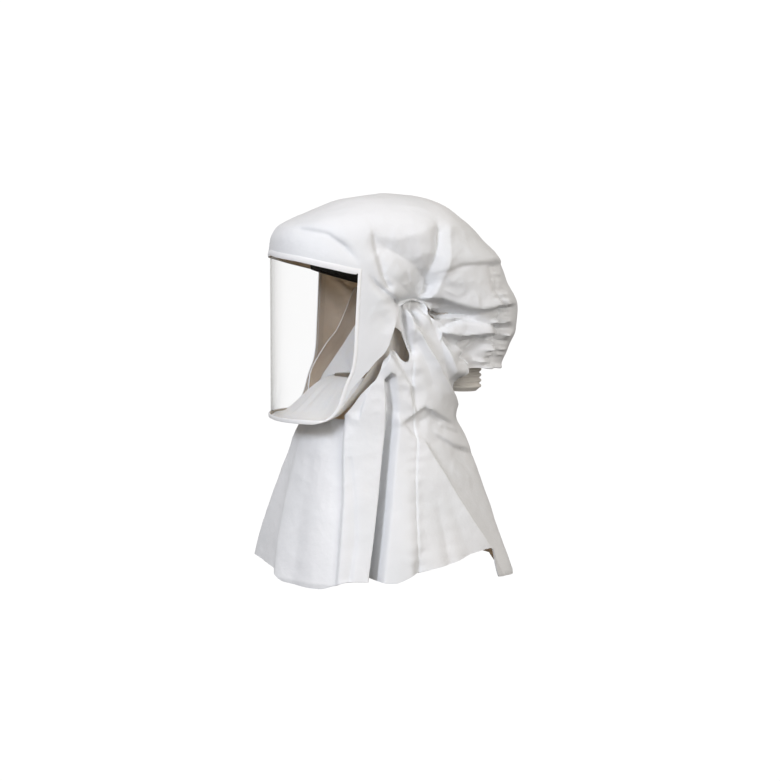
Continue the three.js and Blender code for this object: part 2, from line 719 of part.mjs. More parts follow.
// Ribbed spigot: its neck passes through the duct base and its flange lies under it
function tubeConnector() {
  const top = -ductBaseDrop + 4;
  const flangeTop = -ductBaseDrop - ductBaseWall - seamGap;
  const flangeBottom = flangeTop - tubeFlangeWall;
  const bottom = flangeTop - tubeLength;
  const tip = 4;
  const pitch = (flangeBottom - bottom - tip) / tubeRibs;
  const profile = [[tubeBore, bottom], [tubeBody - 4, bottom]];
  for (let i = 0; i < tubeRibs; i += 1) {
    const low = bottom + tip + i * pitch;
    profile.push([tubeBody, low]);
    profile.push([tubeBody + tubeRib, low + pitch * 0.35]);
    profile.push([tubeBody, low + pitch * 0.7]);
  }
  profile.push([tubeBody, flangeBottom]);
  profile.push([tubeFlange, flangeBottom]);
  profile.push([tubeFlange, flangeTop]);
  profile.push([tubeNeck, flangeTop]);
  profile.push([tubeNeck, top]);
  profile.push([tubeBore, top]);
  profile.push([tubeBore, bottom]);
  const geometry = new THREE.LatheGeometry(profile.map(([r, z]) => new THREE.Vector2(r, z)), 24);
  geometry.rotateX(Math.PI / 2);
  geometry.translate(0, tubeY, 0);
  return geometry;
}

// Height of the band's middle: it slopes down from the brow to the back of the head
function bandHeightAt(y) {
  return -bandDrop - bandSlope * (y + headFront);
}

function headBand() {
  const columns = 44;
  const points = [];
  for (let row = 0; row <= 1; row += 1) {
    for (let column = 0; column < columns; column += 1) {
      const angle = ((column / columns) * 2 - 1) * Math.PI;
      const point = polar(angle, sectionRadius(angle, headFront, headBack, headHalf), 0);
      point.z = bandHeightAt(point.y) + bandHeight * (0.5 - row);
      points.push(point);
    }
  }
  return wallOf(points, gridFaces(1, columns, true, () => true), bandWall);
}

// Strap over the head from side to side, standing on the band's upper edge
function crownStrap() {
  const columns = 22;
  const foot = bandHeightAt(0) + bandHeight / 2 + seamGap + bandSlope * strapWidth / 2;
  const points = [];
  for (let row = 0; row <= 1; row += 1) {
    for (let column = 0; column <= columns; column += 1) {
      const angle = (column / columns) * Math.PI;
      const x = headHalf * Math.cos(angle);
      const z = foot + (strapWall - foot) * Math.sin(angle);
      points.push(new THREE.Vector3(x, strapWidth * (row - 0.5), z));
    }
  }
  return wallOf(points, gridFaces(1, columns, false, () => true), strapWall);
}

// Plain shelf from the band's front to the brow of the hood
function browBracket() {
  const z = -bandDrop + bandHeight / 2 - bracketWall - 1;
  const steps = 8;
  const outline = [];
  for (let i = 0; i <= steps; i += 1) {
    const angle = lerp(-1, 1, i / steps) * Math.atan2(bracketHalf, headFront);
    const radius = sectionRadius(angle, headFront, headBack, headHalf) + seamGap;
    outline.push(new THREE.Vector2(radius * Math.sin(angle), -radius * Math.cos(angle)));
  }
  for (let i = steps; i >= 0; i -= 1) {
    const angle = lerp(-1, 1, i / steps) * Math.atan2(bracketHalf, hoodFront);
    const skin = hoodBase(angle, z);
    const radius = Math.hypot(skin.x, skin.y) - cloth - lensGap - lensWall - 5 * seamGap;
    outline.push(new THREE.Vector2(radius * Math.sin(angle), -radius * Math.cos(angle)));
  }
  const shape = new THREE.Shape(outline);
  const geometry = new THREE.ExtrudeGeometry(shape, { depth: bracketWall, bevelEnabled: false });
  geometry.translate(0, 0, z);
  return geometry;
}

const finishes = {
  clothWhite: { color: '#eceef0', roughness: 0.6, metalness: 0 },
  clothShade: { color: '#e2e2de', roughness: 0.75, metalness: 0 },
  lensClear: { color: '#f4f7f8', roughness: 0.05, metalness: 0, transparent: true, opacity: 0.3 },
  trimWhite: { color: '#f5f6f7', roughness: 0.5, metalness: 0 },
  plasticWhite: { color: '#e6e4df', roughness: 0.45, metalness: 0 },
  bandBlack: { color: '#1d1a19', roughness: 0.8, metalness: 0 },
  strapGrey: { color: '#d5d3ce', roughness: 0.7, metalness: 0 },
};

function piece(name, geometry, finish) {
  const plain = geometry.clone();
  plain.deleteAttribute('normal');
  plain.deleteAttribute('uv');
  const mesh = new THREE.Mesh(mergeVertices(plain, 1e-4), new THREE.MeshStandardMaterial(finish));
  mesh.name = name;
  return mesh;
}

const hood = new THREE.Group();
hood.add(piece('hood_shell', hoodShell(), finishes.clothWhite));
hood.add(piece('visor', visor(), finishes.lensClear));
hood.add(piece('visor_trim', visorTrim(), finishes.trimWhite));
hood.add(piece('shroud', shroud(), finishes.clothWhite));
hood.add(piece('inner_collar', innerCollar(), finishes.clothShade));
hood.add(piece('duct_base', ductBase(), finishes.clothShade));
hood.add(piece('tube_connector', tubeConnector(), finishes.plasticWhite));
hood.add(piece('head_band', headBand(), finishes.bandBlack));
hood.add(piece('crown_strap', crownStrap(), finishes.strapGrey));
hood.add(piece('brow_bracket', browBracket(), finishes.plasticWhite));

export default hood;
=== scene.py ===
import math
import bpy
import numpy as np
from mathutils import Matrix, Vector, noise


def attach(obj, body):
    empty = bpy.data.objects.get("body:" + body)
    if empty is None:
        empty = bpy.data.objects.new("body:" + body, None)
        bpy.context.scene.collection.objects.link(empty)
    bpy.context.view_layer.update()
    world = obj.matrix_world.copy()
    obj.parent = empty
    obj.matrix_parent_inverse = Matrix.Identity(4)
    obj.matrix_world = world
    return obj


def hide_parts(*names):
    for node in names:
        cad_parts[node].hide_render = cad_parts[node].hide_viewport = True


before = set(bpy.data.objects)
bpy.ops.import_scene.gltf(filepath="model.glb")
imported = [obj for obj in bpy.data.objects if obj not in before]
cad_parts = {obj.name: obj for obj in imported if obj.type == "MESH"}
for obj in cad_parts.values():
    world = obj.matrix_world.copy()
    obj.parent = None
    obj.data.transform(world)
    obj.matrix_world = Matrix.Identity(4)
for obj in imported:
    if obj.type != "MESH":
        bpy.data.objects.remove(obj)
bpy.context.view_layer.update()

# Floor, light and camera
# A white studio sweep far below the hood, a soft light before its left cheek and a
# wider, weaker one at that side. The camera looks at the same side, a little from the
# front and from above.

view_azimuth = math.radians(75)
view_elevation = math.radians(5)
view_distance = 2.5
view_target = Vector((0.0008, 0.0061, -0.217))
camera_data = bpy.data.cameras.new("camera")
camera_data.sensor_width = 36.0
camera_data.lens = 88.76
camera = bpy.data.objects.new("camera", camera_data)
bpy.context.scene.collection.objects.link(camera)
view_back = Vector((
    math.sin(view_azimuth) * math.cos(view_elevation),
    -math.cos(view_azimuth) * math.cos(view_elevation),
    math.sin(view_elevation),
))
camera.location = view_target + view_back * view_distance
camera.rotation_euler = view_back.to_track_quat("Z", "Y").to_euler()
bpy.context.scene.camera = camera


def linear(code):
    channels = [int(code[i:i + 2], 16) / 255 for i in (1, 3, 5)]
    turned = [c / 12.92 if c <= 0.04045 else ((c + 0.055) / 1.055) ** 2.4 for c in channels]
    return (*turned, 1.0)


def add_node(tree, kind, links=(), **settings):
    made = tree.nodes.new(kind)
    for name, value in settings.items():
        if hasattr(made, name):
            setattr(made, name, value)
        else:
            made.inputs[name.replace("_", " ")].default_value = value
    for socket, source in dict(links).items():
        tree.links.new(source, made.inputs[socket])
    return made


def new_material(name):
    material = bpy.data.materials.new(name)
    material.use_nodes = True
    tree = material.node_tree
    tree.nodes.clear()
    return material, tree


def area_light(name, place, aim, size, power, colour):
    data = bpy.data.lights.new(name, "AREA")
    data.shape = "SQUARE"
    data.size = size
    data.energy = power
    data.color = linear(colour)[:3]
    light = bpy.data.objects.new(name, data)
    light.location = place
    light.rotation_euler = (Vector(place) - Vector(aim)).to_track_quat("Z", "Y").to_euler()
    bpy.context.scene.collection.objects.link(light)


area_light("key_light", (1.3, -1.75, 0.9), (0, 0, -0.2), 0.6, 30, "#f1f5ff")
area_light("side_light", (2.0, 0.7, 0.5), (0, 0, -0.2), 1.1, 17, "#fffaf4")

world = bpy.data.worlds.new("studio")
world.use_nodes = True
sky = world.node_tree
sky.nodes.clear()
seen = add_node(sky, "ShaderNodeBackground", Color=(1.0, 1.0, 1.0, 1.0), Strength=1.05)
sky_way = add_node(sky, "ShaderNodeTexCoord").outputs["Generated"]
sky_height = add_node(sky, "ShaderNodeSeparateXYZ", {"Vector": sky_way}).outputs["Z"]
sky_glow = add_node(
    sky, "ShaderNodeMapRange", {"Value": sky_height}, From_Min=-0.25, From_Max=0.4,
    To_Min=0.33, To_Max=0.58)
lit = add_node(
    sky, "ShaderNodeBackground", {"Strength": sky_glow.outputs[0]}, Color=linear("#fff8f0"))
camera_ray = add_node(sky, "ShaderNodeLightPath")
sky_mix = add_node(sky, "ShaderNodeMixShader")
sky.links.new(camera_ray.outputs["Is Camera Ray"], sky_mix.inputs[0])
sky.links.new(lit.outputs[0], sky_mix.inputs[1])
sky.links.new(seen.outputs[0], sky_mix.inputs[2])
add_node(sky, "ShaderNodeOutputWorld", {"Surface": sky_mix.outputs[0]})
bpy.context.scene.world = world
bpy.context.scene.view_settings.view_transform = "Standard"

floor_half = 9.0
floor_level = -1.1
floor_mesh = bpy.data.meshes.new("studio_floor")
floor_mesh.from_pydata(
    [(-floor_half, -floor_half, floor_level), (floor_half, -floor_half, floor_level),
     (floor_half, floor_half, floor_level), (-floor_half, floor_half, floor_level)],
    [], [(0, 1, 2, 3)])
floor = bpy.data.objects.new("studio_floor", floor_mesh)
bpy.context.scene.collection.objects.link(floor)
floor_paint, tree = new_material("studio_floor_paint")
floor_paint_ray = add_node(tree, "ShaderNodeLightPath").outputs["Is Camera Ray"]
floor_matt = add_node(tree, "ShaderNodeBsdfDiffuse", Color=linear("#5f5c57"))
floor_white = add_node(tree, "ShaderNodeEmission", Color=(1.0, 1.0, 1.0, 1.0), Strength=1.05)
floor_mix = add_node(
    tree, "ShaderNodeMixShader",
    {0: floor_paint_ray, 1: floor_matt.outputs[0], 2: floor_white.outputs[0]})
add_node(tree, "ShaderNodeOutputMaterial", {"Surface": floor_mix.outputs[0]})
floor_mesh.materials.append(floor_paint)

# Hood shell
# Crown, cheeks and the hump over the air duct, cut from polyamide cloth with a
# white polyurethane coat and sewn into one shell. It is gathered into a pinch above
# each ear, and an elastic draws the back of the hump in.

crown_rise = 38
chin_drop = 250
hood_front = 150
hood_back = 178
hood_half = 113
front_power = 2.5
back_power = 2.2
cloth_wall = 1.5
temple_angle = 60
hood_height = crown_rise + chin_drop


def lerp(a, b, t):
    return a + (b - a) * t


def smooth(low, high, value):
    t = np.clip((value - low) / (high - low), 0.0, 1.0)
    return t * t * (3.0 - 2.0 * t)


def table(columns, rows):
    return dict(zip(columns.split(), np.array(rows, float).T))


def read_table(rows, key_column, value_column, key):
    """Cubic through the rows that keeps their slopes."""
    x, y = rows[key_column], rows[value_column]
    chord = np.diff(y) / np.diff(x)
    both = chord[:-1] * chord[1:]
    middle = np.where(both > 0, 2 * both / np.where(both > 0, chord[:-1] + chord[1:], 1), 0)
    slope = np.concatenate([chord[:1], middle, chord[-1:]])
    key = np.clip(key, x[0], x[-1])
    i = np.clip(np.searchsorted(x, key, side="right") - 1, 0, len(x) - 2)
    span = x[i + 1] - x[i]
    t = (key - x[i]) / span
    bend = t * (1 - t) ** 2 * slope[i] + t * t * (t - 1) * slope[i + 1]
    return y[i] + (y[i + 1] - y[i]) * t * t * (3 - 2 * t) + span * bend


hood_sections = table("depth front back half", [
    (0.0, 0.0, 0.0, 0.0),
    (0.072, 0.1, 0.13, 0.17),
    (0.177, 0.41, 0.33, 0.5),
    (0.264, 0.6, 0.455, 0.72),
    (0.333, 0.79, 0.54, 0.85),
    (0.391, 0.93, 0.62, 0.92),
    (0.46, 0.985, 0.71, 0.97),
    (0.553, 1.0, 0.87, 1.0),
    (0.626, 1.0, 0.92, 1.0),
    (0.712, 1.0, 1.0, 1.0),
    (0.782, 1.0, 0.99, 1.0),
    (0.833, 1.0, 0.935, 1.0),
    (0.884, 1.0, 0.88, 1.0),
    (1.0, 1.0, 0.8, 1.0),
])
visor_side = table("drop y", [
    (0.2, 0.4),
    (0.54, 0.43),
    (0.632, 0.437),
    (0.716, 0.457),
    (0.8, 0.51),
    (0.916, 0.575),
    (0.965, 0.64),
    (0.99, 0.72),
    (1.0, 0.78),
])
brow_line = table("angle drop", [
    (0, 0.144),
    (25, 0.166),
    (45, 0.204),
    (60, 0.232),
    (90, 0.245),
    (135, 0.225),
    (180, 0.2),
])
hood_hem = table("angle drop", [
    (60, 0.916),
    (64, 0.8),
    (71, 0.69),
    (77, 0.63),
    (81, 0.54),
    (87, 0.41),
    (97, 0.385),
    (106, 0.41),
    (113, 0.47),
    (119, 0.6),
    (127, 0.735),
    (140, 0.748),
    (180, 0.748),
])

# Folds as seen from the side. A path point is (y, z) in millimetres, and so are the
# rest. rise lifts the cloth along the path, a valley if it is below zero, over width.
# form is 2 for a round fold and 1 for a sharp crease. step lifts the path's left side
# and drops its right side, over spread. first and last are the shares of both at the
# path's ends. reach is the distance from the middle plane at which the fold starts.
# step_edge is how far a step takes to change over, and side_fade how far a fold takes
# to come in past reach.
fold_columns = "rise width form step spread first last reach"
step_edge = 1.8
step_form = 1.5
side_fade = 28


def fold_list(rows):
    return [dict(zip(fold_columns.split(), values), path=path) for path, *values in rows]


hood_folds = fold_list([
    ([(-124, -6), (-98, -12), (-79, -27), (-62, -50), (-39, -76), (-9, -99)],
     -8.0, 5.5, 1.2, 3.6, 16, 0.35, 1.0, 34),
    ([(-62, -66), (-30, -94)], 2.5, 12, 2.0, 0, 1, 0.5, 1.0, 34),
    ([(-43, -16), (-39, -43), (-33, -64), (-26, -78)], -6.0, 5.5, 1.2, -2.4, 12, 0.5, 1.0, 34),
    ([(-26, -30), (6, -48), (28, -67)], -15, 22, 1.25, 0, 1, 0.7, 1.0, 34),
    ([(-45, -13), (-10, -19), (39, -5)], 2.5, 10, 1.5, 0, 1, 0.6, 1.0, 34),
    ([(46, -9), (44, -25), (40, -42), (36, -57), (33, -70), (30, -83)],
     -18.0, 9.5, 1.1, 3.0, 12, 0.55, 0.4, 40),
    ([(59, -8), (58, -34), (54, -56), (47, -76), (33, -94)], 10.0, 8, 1.4, 0, 1, 0.4, 1.0, 40),
    ([(60, -19), (58, -48), (49, -76)], -4.5, 8, 1.5, 0, 1, 0.5, 1.0, 40),
    ([(12, -89), (22, -92)], -13, 24, 2.0, 0, 1, 1.0, 1.0, 40),
    ([(-4, -98), (9, -95), (20, -94), (31, -86), (35, -78)], -13, 6, 1.3, 0, 1, 0.8, 0.8, 50),
    ([(53, -123), (78, -146), (93, -175)], -28, 37, 2.0, 0, 1, 1.0, 1.0, 34),
    ([(50, -60), (76, -52), (99, -51), (140, -50)], -1.0, 4, 1.4, 2.2, 13, 0.5, 1.0, 0),
    ([(29, -95), (52, -96), (75, -104), (98, -111), (120, -109), (141, -107)],
     2, 3, 1.4, 8, 17, 0.7, 0.7, 22),
    ([(44, -113), (58, -115), (75, -114), (100, -117)], -17, 4.5, 1.4, 0, 1, 1.0, 0.6, 30),
    ([(34, -109), (53, -109)], 5, 2.6, 1.6, 0, 1, 1.0, 0.6, 34),
    ([(32, -117), (55, -119), (86, -121)], 6, 3.2, 1.5, 0, 1, 1.0, 0.5, 34),
    ([(57, -133), (73, -126), (92, -122), (135, -133)], -5, 3.6, 1.3, -2.5, 10, 1.0, 0.7, 28),
    ([(62, -140), (90, -146), (131, -141)], 2, 2.6, 1.4, 6, 12, 1.0, 0.8, 28),
    ([(68, -150), (91, -155), (131, -149)], -11, 5, 1.4, 0, 1, 1.0, 0.6, 28),
    ([(93, -170), (113, -159), (135, -149)], -12, 5, 1.3, -3.0, 12, 0.8, 1.0, 28),
    ([(108, -178), (137, -182)], 3.5, 3, 1.5, 0, 1, 1.0, 1.0, 22),
    ([(134, -135), (160, -136)], -4, 3.5, 1.4, 0, 1, 1.0, 0.8, 0),
    ([(119, -56), (119, -75), (126, -92)], -2.2, 3, 1.4, 0, 1, 1.0, 0.6, 30),
])

# Elastic of the hump, from its top to the hump's lower edge
elastic_line = [
    (120, -52), (126, -70), (127, -87), (140, -107), (143, -116), (136, -129), (143, -137),
    (142, -147), (139, -166), (137, -184)]
elastic_depth = 12.0
elastic_width = 3
ruffle_pitch = 13.0
ruffle_rise = 3.0

# Line behind the elastic along which the hump's back is pulled in
rear_draw = [(150, -56), (160, -100), (162, -140), (152, -182)]
rear_draw_depth = 4.5
rear_draw_width = 22

# Height of the small creases that wear gives the cloth, and the spot where most are
hood_hand = 1.1
worn_spot = (30, -105)


def nearest_on_path(y, z, path):
    """Distance, signed offset and share of the way for the nearest point of a path."""
    points = np.array(path, float)
    lengths = np.hypot(*(points[1:] - points[:-1]).T)
    whole = lengths.sum()
    best = np.full(np.shape(y), np.inf)
    offset = np.zeros(np.shape(y))
    share = np.zeros(np.shape(y))
    run = 0.0
    for (ay, az), (by, bz), length in zip(points[:-1], points[1:], lengths):
        dy, dz = (by - ay) / length, (bz - az) / length
        along = np.clip((y - ay) * dy + (z - az) * dz, 0, length)
        away = np.hypot(y - ay - along * dy, z - az - along * dz)
        closer = away < best
        best = np.where(closer, away, best)
        offset = np.where(closer, dy * (z - az) - dz * (y - ay), offset)
        share = np.where(closer, (run + along) / whole, share)
        run += length
    return best, offset, share


def fold_height(point, folds, across_middle=True):
    height = np.zeros(point.shape[:-1])
    for fold in folds:
        away, offset, share = nearest_on_path(point[..., 1], point[..., 2], fold["path"])
        lift = fold["rise"] * np.exp(-(away / fold["width"]) ** fold["form"])
        lift += (
            fold["step"] * np.tanh(offset / step_edge)
            * np.exp(-(away / fold["spread"]) ** step_form))
        size = lerp(fold["first"], fold["last"], share)
        out = np.abs(point[..., 0]) if across_middle else point[..., 0]
        reach = fold["reach"]
        side = smooth(reach, reach + side_fade, out) if reach > 0 else 1.0
        height += lift * size * side
    return height


def section_radius(angle, front, back, half):
    ahead = np.cos(angle) > 0
    power = np.where(ahead, front_power, back_power)
    length = np.maximum(np.where(ahead, front, back), 1e-4)
    across = np.abs(np.sin(angle) / np.maximum(half, 1e-4)) ** power
    along = np.abs(np.cos(angle) / length) ** power
    return (across + along) ** (-1 / power)


def polar(angle, radius, z):
    return np.stack(np.broadcast_arrays(radius * np.sin(angle), -radius * np.cos(angle), z), -1)


def hood_base(angle, z):
    depth = np.sqrt(np.maximum(0, (crown_rise - z) / hood_height))
    front, back, half = (
        size * read_table(hood_sections, "depth", column, depth)
        for size, column in ((hood_front, "front"), (hood_back, "back"), (hood_half, "half")))
    return polar(angle, section_radius(angle, front, back, half), z)


def unit(vectors, spare=(0.0, 0.0, 1.0)):
    length = np.linalg.norm(vectors, axis=-1, keepdims=True)
    return np.where(length < 1e-9, spare, vectors / np.maximum(length, 1e-9))


def hood_normal(angle, z):
    step = 0.01
    drop = np.minimum(1, (crown_rise - z) * 0.5)
    across = hood_base(angle + step, z) - hood_base(angle - step, z)
    down = hood_base(angle, z - 1) - hood_base(angle, z + drop)
    return unit(np.cross(down, across))


def visor_angle(z):
    y = read_table(visor_side, "drop", "y", np.maximum(0, -z) / chin_drop)
    x = hood_half * (1 - y ** front_power) ** (1 / front_power)
    return np.arctan2(x, y * hood_front)


def line_height(rows, degrees, size=chin_drop):
    return -size * read_table(rows, "angle", "drop", np.abs(degrees))


def crumple(point, size, seed):
    """Crisp shallow creases of stiff cloth, from about -1 to 1, size millimetres apart."""
    flat = point.reshape(-1, 3) / size + seed
    values = [abs(noise.noise(Vector(p))) + 0.45 * abs(noise.noise(Vector(p * 2.3))) for p in flat]
    return 1 - 4 * np.array(values).reshape(point.shape[:-1])


# Folds that run out of the pinch, as waves round it: strength, waves a turn, start
pinch_place = (13, -93)
pinch_rise = 0.7
pinch_spread = 46
pinch_folds = [(1.0, 9, 0.6), (0.6, 14, 2.0), (0.4, 23, 4.0)]


def pinch_waves(point):
    y, z = point[..., 1] - pinch_place[0], point[..., 2] - pinch_place[1]
    away, turn = np.hypot(y, z), np.arctan2(z, y)
    wave = sum(size * np.sin(waves * turn + start) for size, waves, start in pinch_folds)
    at_side = smooth(50, 80, np.abs(point[..., 0]))
    return pinch_rise * wave * np.exp(-(away / pinch_spread) ** 2) * smooth(6, 22, away) * at_side


def elastic_gathers(point):
    away, offset, share = nearest_on_path(point[..., 1], point[..., 2], elastic_line)
    behind = smooth(112, 128, point[..., 1])
    turn = point[..., 2] / ruffle_pitch
    gather = sum(
        size * np.cos(2 * math.pi * rate * turn + start + 1.3 * np.sin(turn * rate * 0.9))
        for size, rate, start in ((1.0, 0.55, 0.4), (0.7, 0.93, 2.1), (0.45, 1.7, 4.0)))
    beside = np.exp(-((away - 7) / 7) ** 2) + 0.4 * smooth(0, 14, -offset) * smooth(30, 0, away)
    draw = elastic_depth * np.exp(-(away / elastic_width) ** 1.4) * smooth(-50, -100, point[..., 2])
    low = 0.4 + 0.6 * smooth(-80, -130, point[..., 2])
    back = nearest_on_path(point[..., 1], point[..., 2], rear_draw)[0]
    drawn = rear_draw_depth * np.exp(-(back / rear_draw_width) ** 2)
    return behind * low * (ruffle_rise * (gather - 0.6) * beside - draw) - drawn


def hood_point(angle, z, offset=0.0):
    base = hood_base(angle, z)
    cheek_edge = visor_angle(z)
    cheek = smooth(cheek_edge + 0.05, cheek_edge + 0.24, np.abs(angle))
    brow = smooth(4, 30, z - line_height(brow_line, np.degrees(angle)))
    fade = np.maximum(cheek, brow)
    height = fold_height(base, hood_folds) + pinch_waves(base) + elastic_gathers(base)
    worn = smooth(110, 30, np.hypot(base[..., 1] - worn_spot[0], base[..., 2] - worn_spot[1]))
    height = (height + hood_hand * (0.25 + 0.75 * worn) * crumple(base, 34, 3.0)) * fade
    return base + hood_normal(angle, z) * (height + offset)[..., None]


def grid_quads(rows, columns, closed, present=None):
    stride = columns if closed else columns + 1
    row, column = np.mgrid[0:rows, 0:columns]
    following = (column + 1) % stride
    quads = np.stack([
        row * stride + column, (row + 1) * stride + column,
        (row + 1) * stride + following, row * stride + following], -1)
    kept = np.ones((rows, columns), bool) if present is None else present
    return quads[kept]


def make_object(name, vertices, faces, materials, indices=None, sharp=40):
    mesh = bpy.data.meshes.new(name)
    mesh.from_pydata((np.asarray(vertices) / 1000).tolist(), [], faces)
    for material in materials:
        mesh.materials.append(material)
    if indices is not None:
        mesh.polygons.foreach_set("material_index", indices)
    mesh.polygons.foreach_set("use_smooth", [True] * len(mesh.polygons))
    mesh.set_sharp_from_angle(angle=math.radians(sharp))
    made = bpy.data.objects.new(name, mesh)
    bpy.context.scene.collection.objects.link(made)
    return made


def wall_piece(name, points, quads, thickness, materials):
    """Closed wall from an open sheet: the sheet is its outside."""
    used, turned = np.unique(quads, return_inverse=True)
    quads = turned.reshape(quads.shape)
    shape = points.shape[:-1]
    points = points.reshape(-1, 3)[used]
    count = len(points)
    faced = np.cross(
        points[quads[:, 2]] - points[quads[:, 0]], points[quads[:, 3]] - points[quads[:, 1]])
    normals = np.zeros_like(points)
    for corner in range(4):
        np.add.at(normals, quads[:, corner], faced)
    walls = np.broadcast_to(thickness, shape).reshape(-1, 1)[used]
    inner = points - walls * unit(normals)
    starts = quads.ravel()
    ends = np.roll(quads, -1, axis=1).ravel()
    real = starts != ends
    starts, ends = starts[real], ends[real]
    edge = ~np.isin(starts * count + ends, ends * count + starts)
    starts, ends = starts[edge], ends[edge]
    rim = np.stack([starts, starts + count, ends + count, ends], -1)
    outside = [tuple(dict.fromkeys(q)) for q in quads.tolist()]
    inside = [tuple(i + count for i in reversed(q)) for q in outside]
    faces = outside + inside + rim.tolist()
    indices = [0] * len(outside) + [1] * len(inside) + [0] * len(rim)
    if len(materials) == 1:
        indices = None
    return make_object(name, np.concatenate([points, inner]), faces, materials, indices)


def cloth_material(name, colour, shade, roughness, weave_depth, coat, through=0.0):
    """Plain weave with a slight crumple. Real threads lie 0.45 mm apart, drawn 0.9 mm to show."""
    material, tree = new_material(name)
    place = add_node(tree, "ShaderNodeTexCoord").outputs["Object"]
    tone = add_node(tree, "ShaderNodeTexNoise", {"Vector": place}, Scale=14.0, Detail=3.0)
    ramp = add_node(tree, "ShaderNodeValToRGB", {"Fac": tone.outputs["Fac"]})
    ramp.color_ramp.elements[0].position = 0.3
    ramp.color_ramp.elements[0].color = linear(shade)
    ramp.color_ramp.elements[1].position = 0.62
    ramp.color_ramp.elements[1].color = linear(colour)
    fine = add_node(tree, "ShaderNodeTexNoise", {"Vector": place}, Scale=420.0, Detail=2.0)
    rough = add_node(
        tree, "ShaderNodeMapRange", {"Value": fine.outputs["Fac"]},
        To_Min=roughness - 0.07, To_Max=roughness + 0.07)
    across = add_node(tree, "ShaderNodeTexWave", {"Vector": place}, bands_direction="Z", Scale=350.0)
    along = add_node(tree, "ShaderNodeTexWave", {"Vector": place}, bands_direction="Y", Scale=350.0)
    weave = add_node(
        tree, "ShaderNodeMath", {0: across.outputs["Fac"], 1: along.outputs["Fac"]},
        operation="MULTIPLY")
    crease = add_node(
        tree, "ShaderNodeTexNoise", {"Vector": place}, Scale=70.0, Detail=4.0, Roughness=0.55)
    thread_bump = add_node(
        tree, "ShaderNodeBump", {"Height": weave.outputs[0]}, Strength=0.35, Distance=weave_depth)
    crease_bump = add_node(
        tree, "ShaderNodeBump", {"Height": crease.outputs["Fac"], "Normal": thread_bump.outputs[0]},
        Strength=0.5, Distance=0.0016)
    shader = add_node(
        tree, "ShaderNodeBsdfPrincipled",
        {"Base Color": ramp.outputs["Color"], "Roughness": rough.outputs[0],
         "Normal": crease_bump.outputs[0]},
        IOR=1.46, Coat_Weight=coat, Coat_Roughness=0.45, Subsurface_Weight=through,
        Subsurface_Radius=(1.0, 0.86, 0.72), Subsurface_Scale=0.005)
    add_node(tree, "ShaderNodeOutputMaterial", {"Surface": shader.outputs[0]})
    return material


# Outside: polyurethane coat on polyamide, matt white with a faint soft gloss. Inside:
# the bare weave, which lets some warm light through. Its beige colour is painted warm shade.
coated_cloth = cloth_material("coated_cloth", "#e9ebee", "#e2e5e8", 0.56, 0.00012, 0.08)
inner_cloth = cloth_material("inner_cloth", "#dccfc2", "#d3c5b6", 0.8, 0.0002, 0.0, 0.7)

lens_columns = 50
left_columns = 140
right_columns = 96
crown_rows = 82
face_rows = 70
share_list = np.linspace(-1, 1, 2 * lens_columns + 1)
left_behind = np.arange(1, left_columns + 1) / left_columns
right_behind = np.arange(right_columns - 1, 0, -1) / right_columns
right_side, left_side = -np.ones(len(right_behind)), np.ones(left_columns)
column_side = np.concatenate([right_side, np.sign(share_list), left_side])
column_share = np.concatenate([right_side, share_list, left_side])
column_behind = np.concatenate([right_behind, np.zeros(len(share_list)), left_behind])
column_degrees = (
    column_share * temple_angle + column_side * column_behind * (180 - temple_angle))


def station_angle(share, side, behind, z):
    edge = visor_angle(z)
    return share * edge + side * behind * (math.pi - edge)


brow_heights = line_height(brow_line, column_degrees)
hem_heights = line_height(hood_hem, column_degrees)
crown_part = np.cos(np.linspace(0, math.pi / 2, crown_rows + 1))[:, None]
face_part = np.linspace(0, 1, face_rows + 1)[1:, None]
hood_heights = np.concatenate([
    lerp(brow_heights, crown_rise, crown_part),
    lerp(brow_heights, hem_heights, face_part),
])
hood_angles = station_angle(column_share, column_side, column_behind, hood_heights)
hood_points = hood_point(hood_angles, hood_heights)
hood_rows = crown_rows + face_rows
hood_columns = len(column_share)
in_lens = column_behind == 0
beside_lens = in_lens & np.roll(in_lens, -1)
hood_kept = ~((np.arange(hood_rows)[:, None] >= crown_rows) & beside_lens[None, :])
hood_quads = grid_quads(hood_rows, hood_columns, True, hood_kept)
hood_quads = np.where(hood_quads < hood_columns, 0, hood_quads)
# Inside of the shell: the inner cloth, whose beige is painted warm shade.
hood_shell = wall_piece(
    "hood_cloth", hood_points, hood_quads, cloth_wall, [coated_cloth, inner_cloth])
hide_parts("hood_shell")
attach(hood_shell, "root")

# Visor
# Lens of clear copolyester sheet, 1 mm thick, cut flat and bent to a U round the face.
# It shows as two bright lines at its silhouette and is clear between them.

lens_wall = 1.0
lens_gap = 0.6
lens_overlap = 6
lens_rows = 80
seam_gap = 0.3

clear_sheet, tree = new_material("clear_copolyester")
lens_place = add_node(tree, "ShaderNodeTexCoord").outputs["Object"]
lens_haze = add_node(tree, "ShaderNodeTexNoise", {"Vector": lens_place}, Scale=9.0, Detail=2.0)
lens_rough = add_node(
    tree, "ShaderNodeMapRange", {"Value": lens_haze.outputs["Fac"]}, To_Min=0.015, To_Max=0.06)
lens_facing = add_node(tree, "ShaderNodeLayerWeight", Blend=0.5)
lens_edge = add_node(
    tree, "ShaderNodeMath", {0: lens_facing.outputs["Facing"]}, operation="POWER")
lens_edge.inputs[1].default_value = 5.0
lens_mirror = add_node(
    tree, "ShaderNodeMapRange", {"Value": lens_edge.outputs[0]}, To_Min=0.006, To_Max=0.5)
lens_through = add_node(tree, "ShaderNodeBsdfTransparent", Color=linear("#fdfdfd"))
lens_gloss = add_node(
    tree, "ShaderNodeBsdfGlossy", {"Roughness": lens_rough.outputs[0]}, Color=linear("#f4f6f8"))
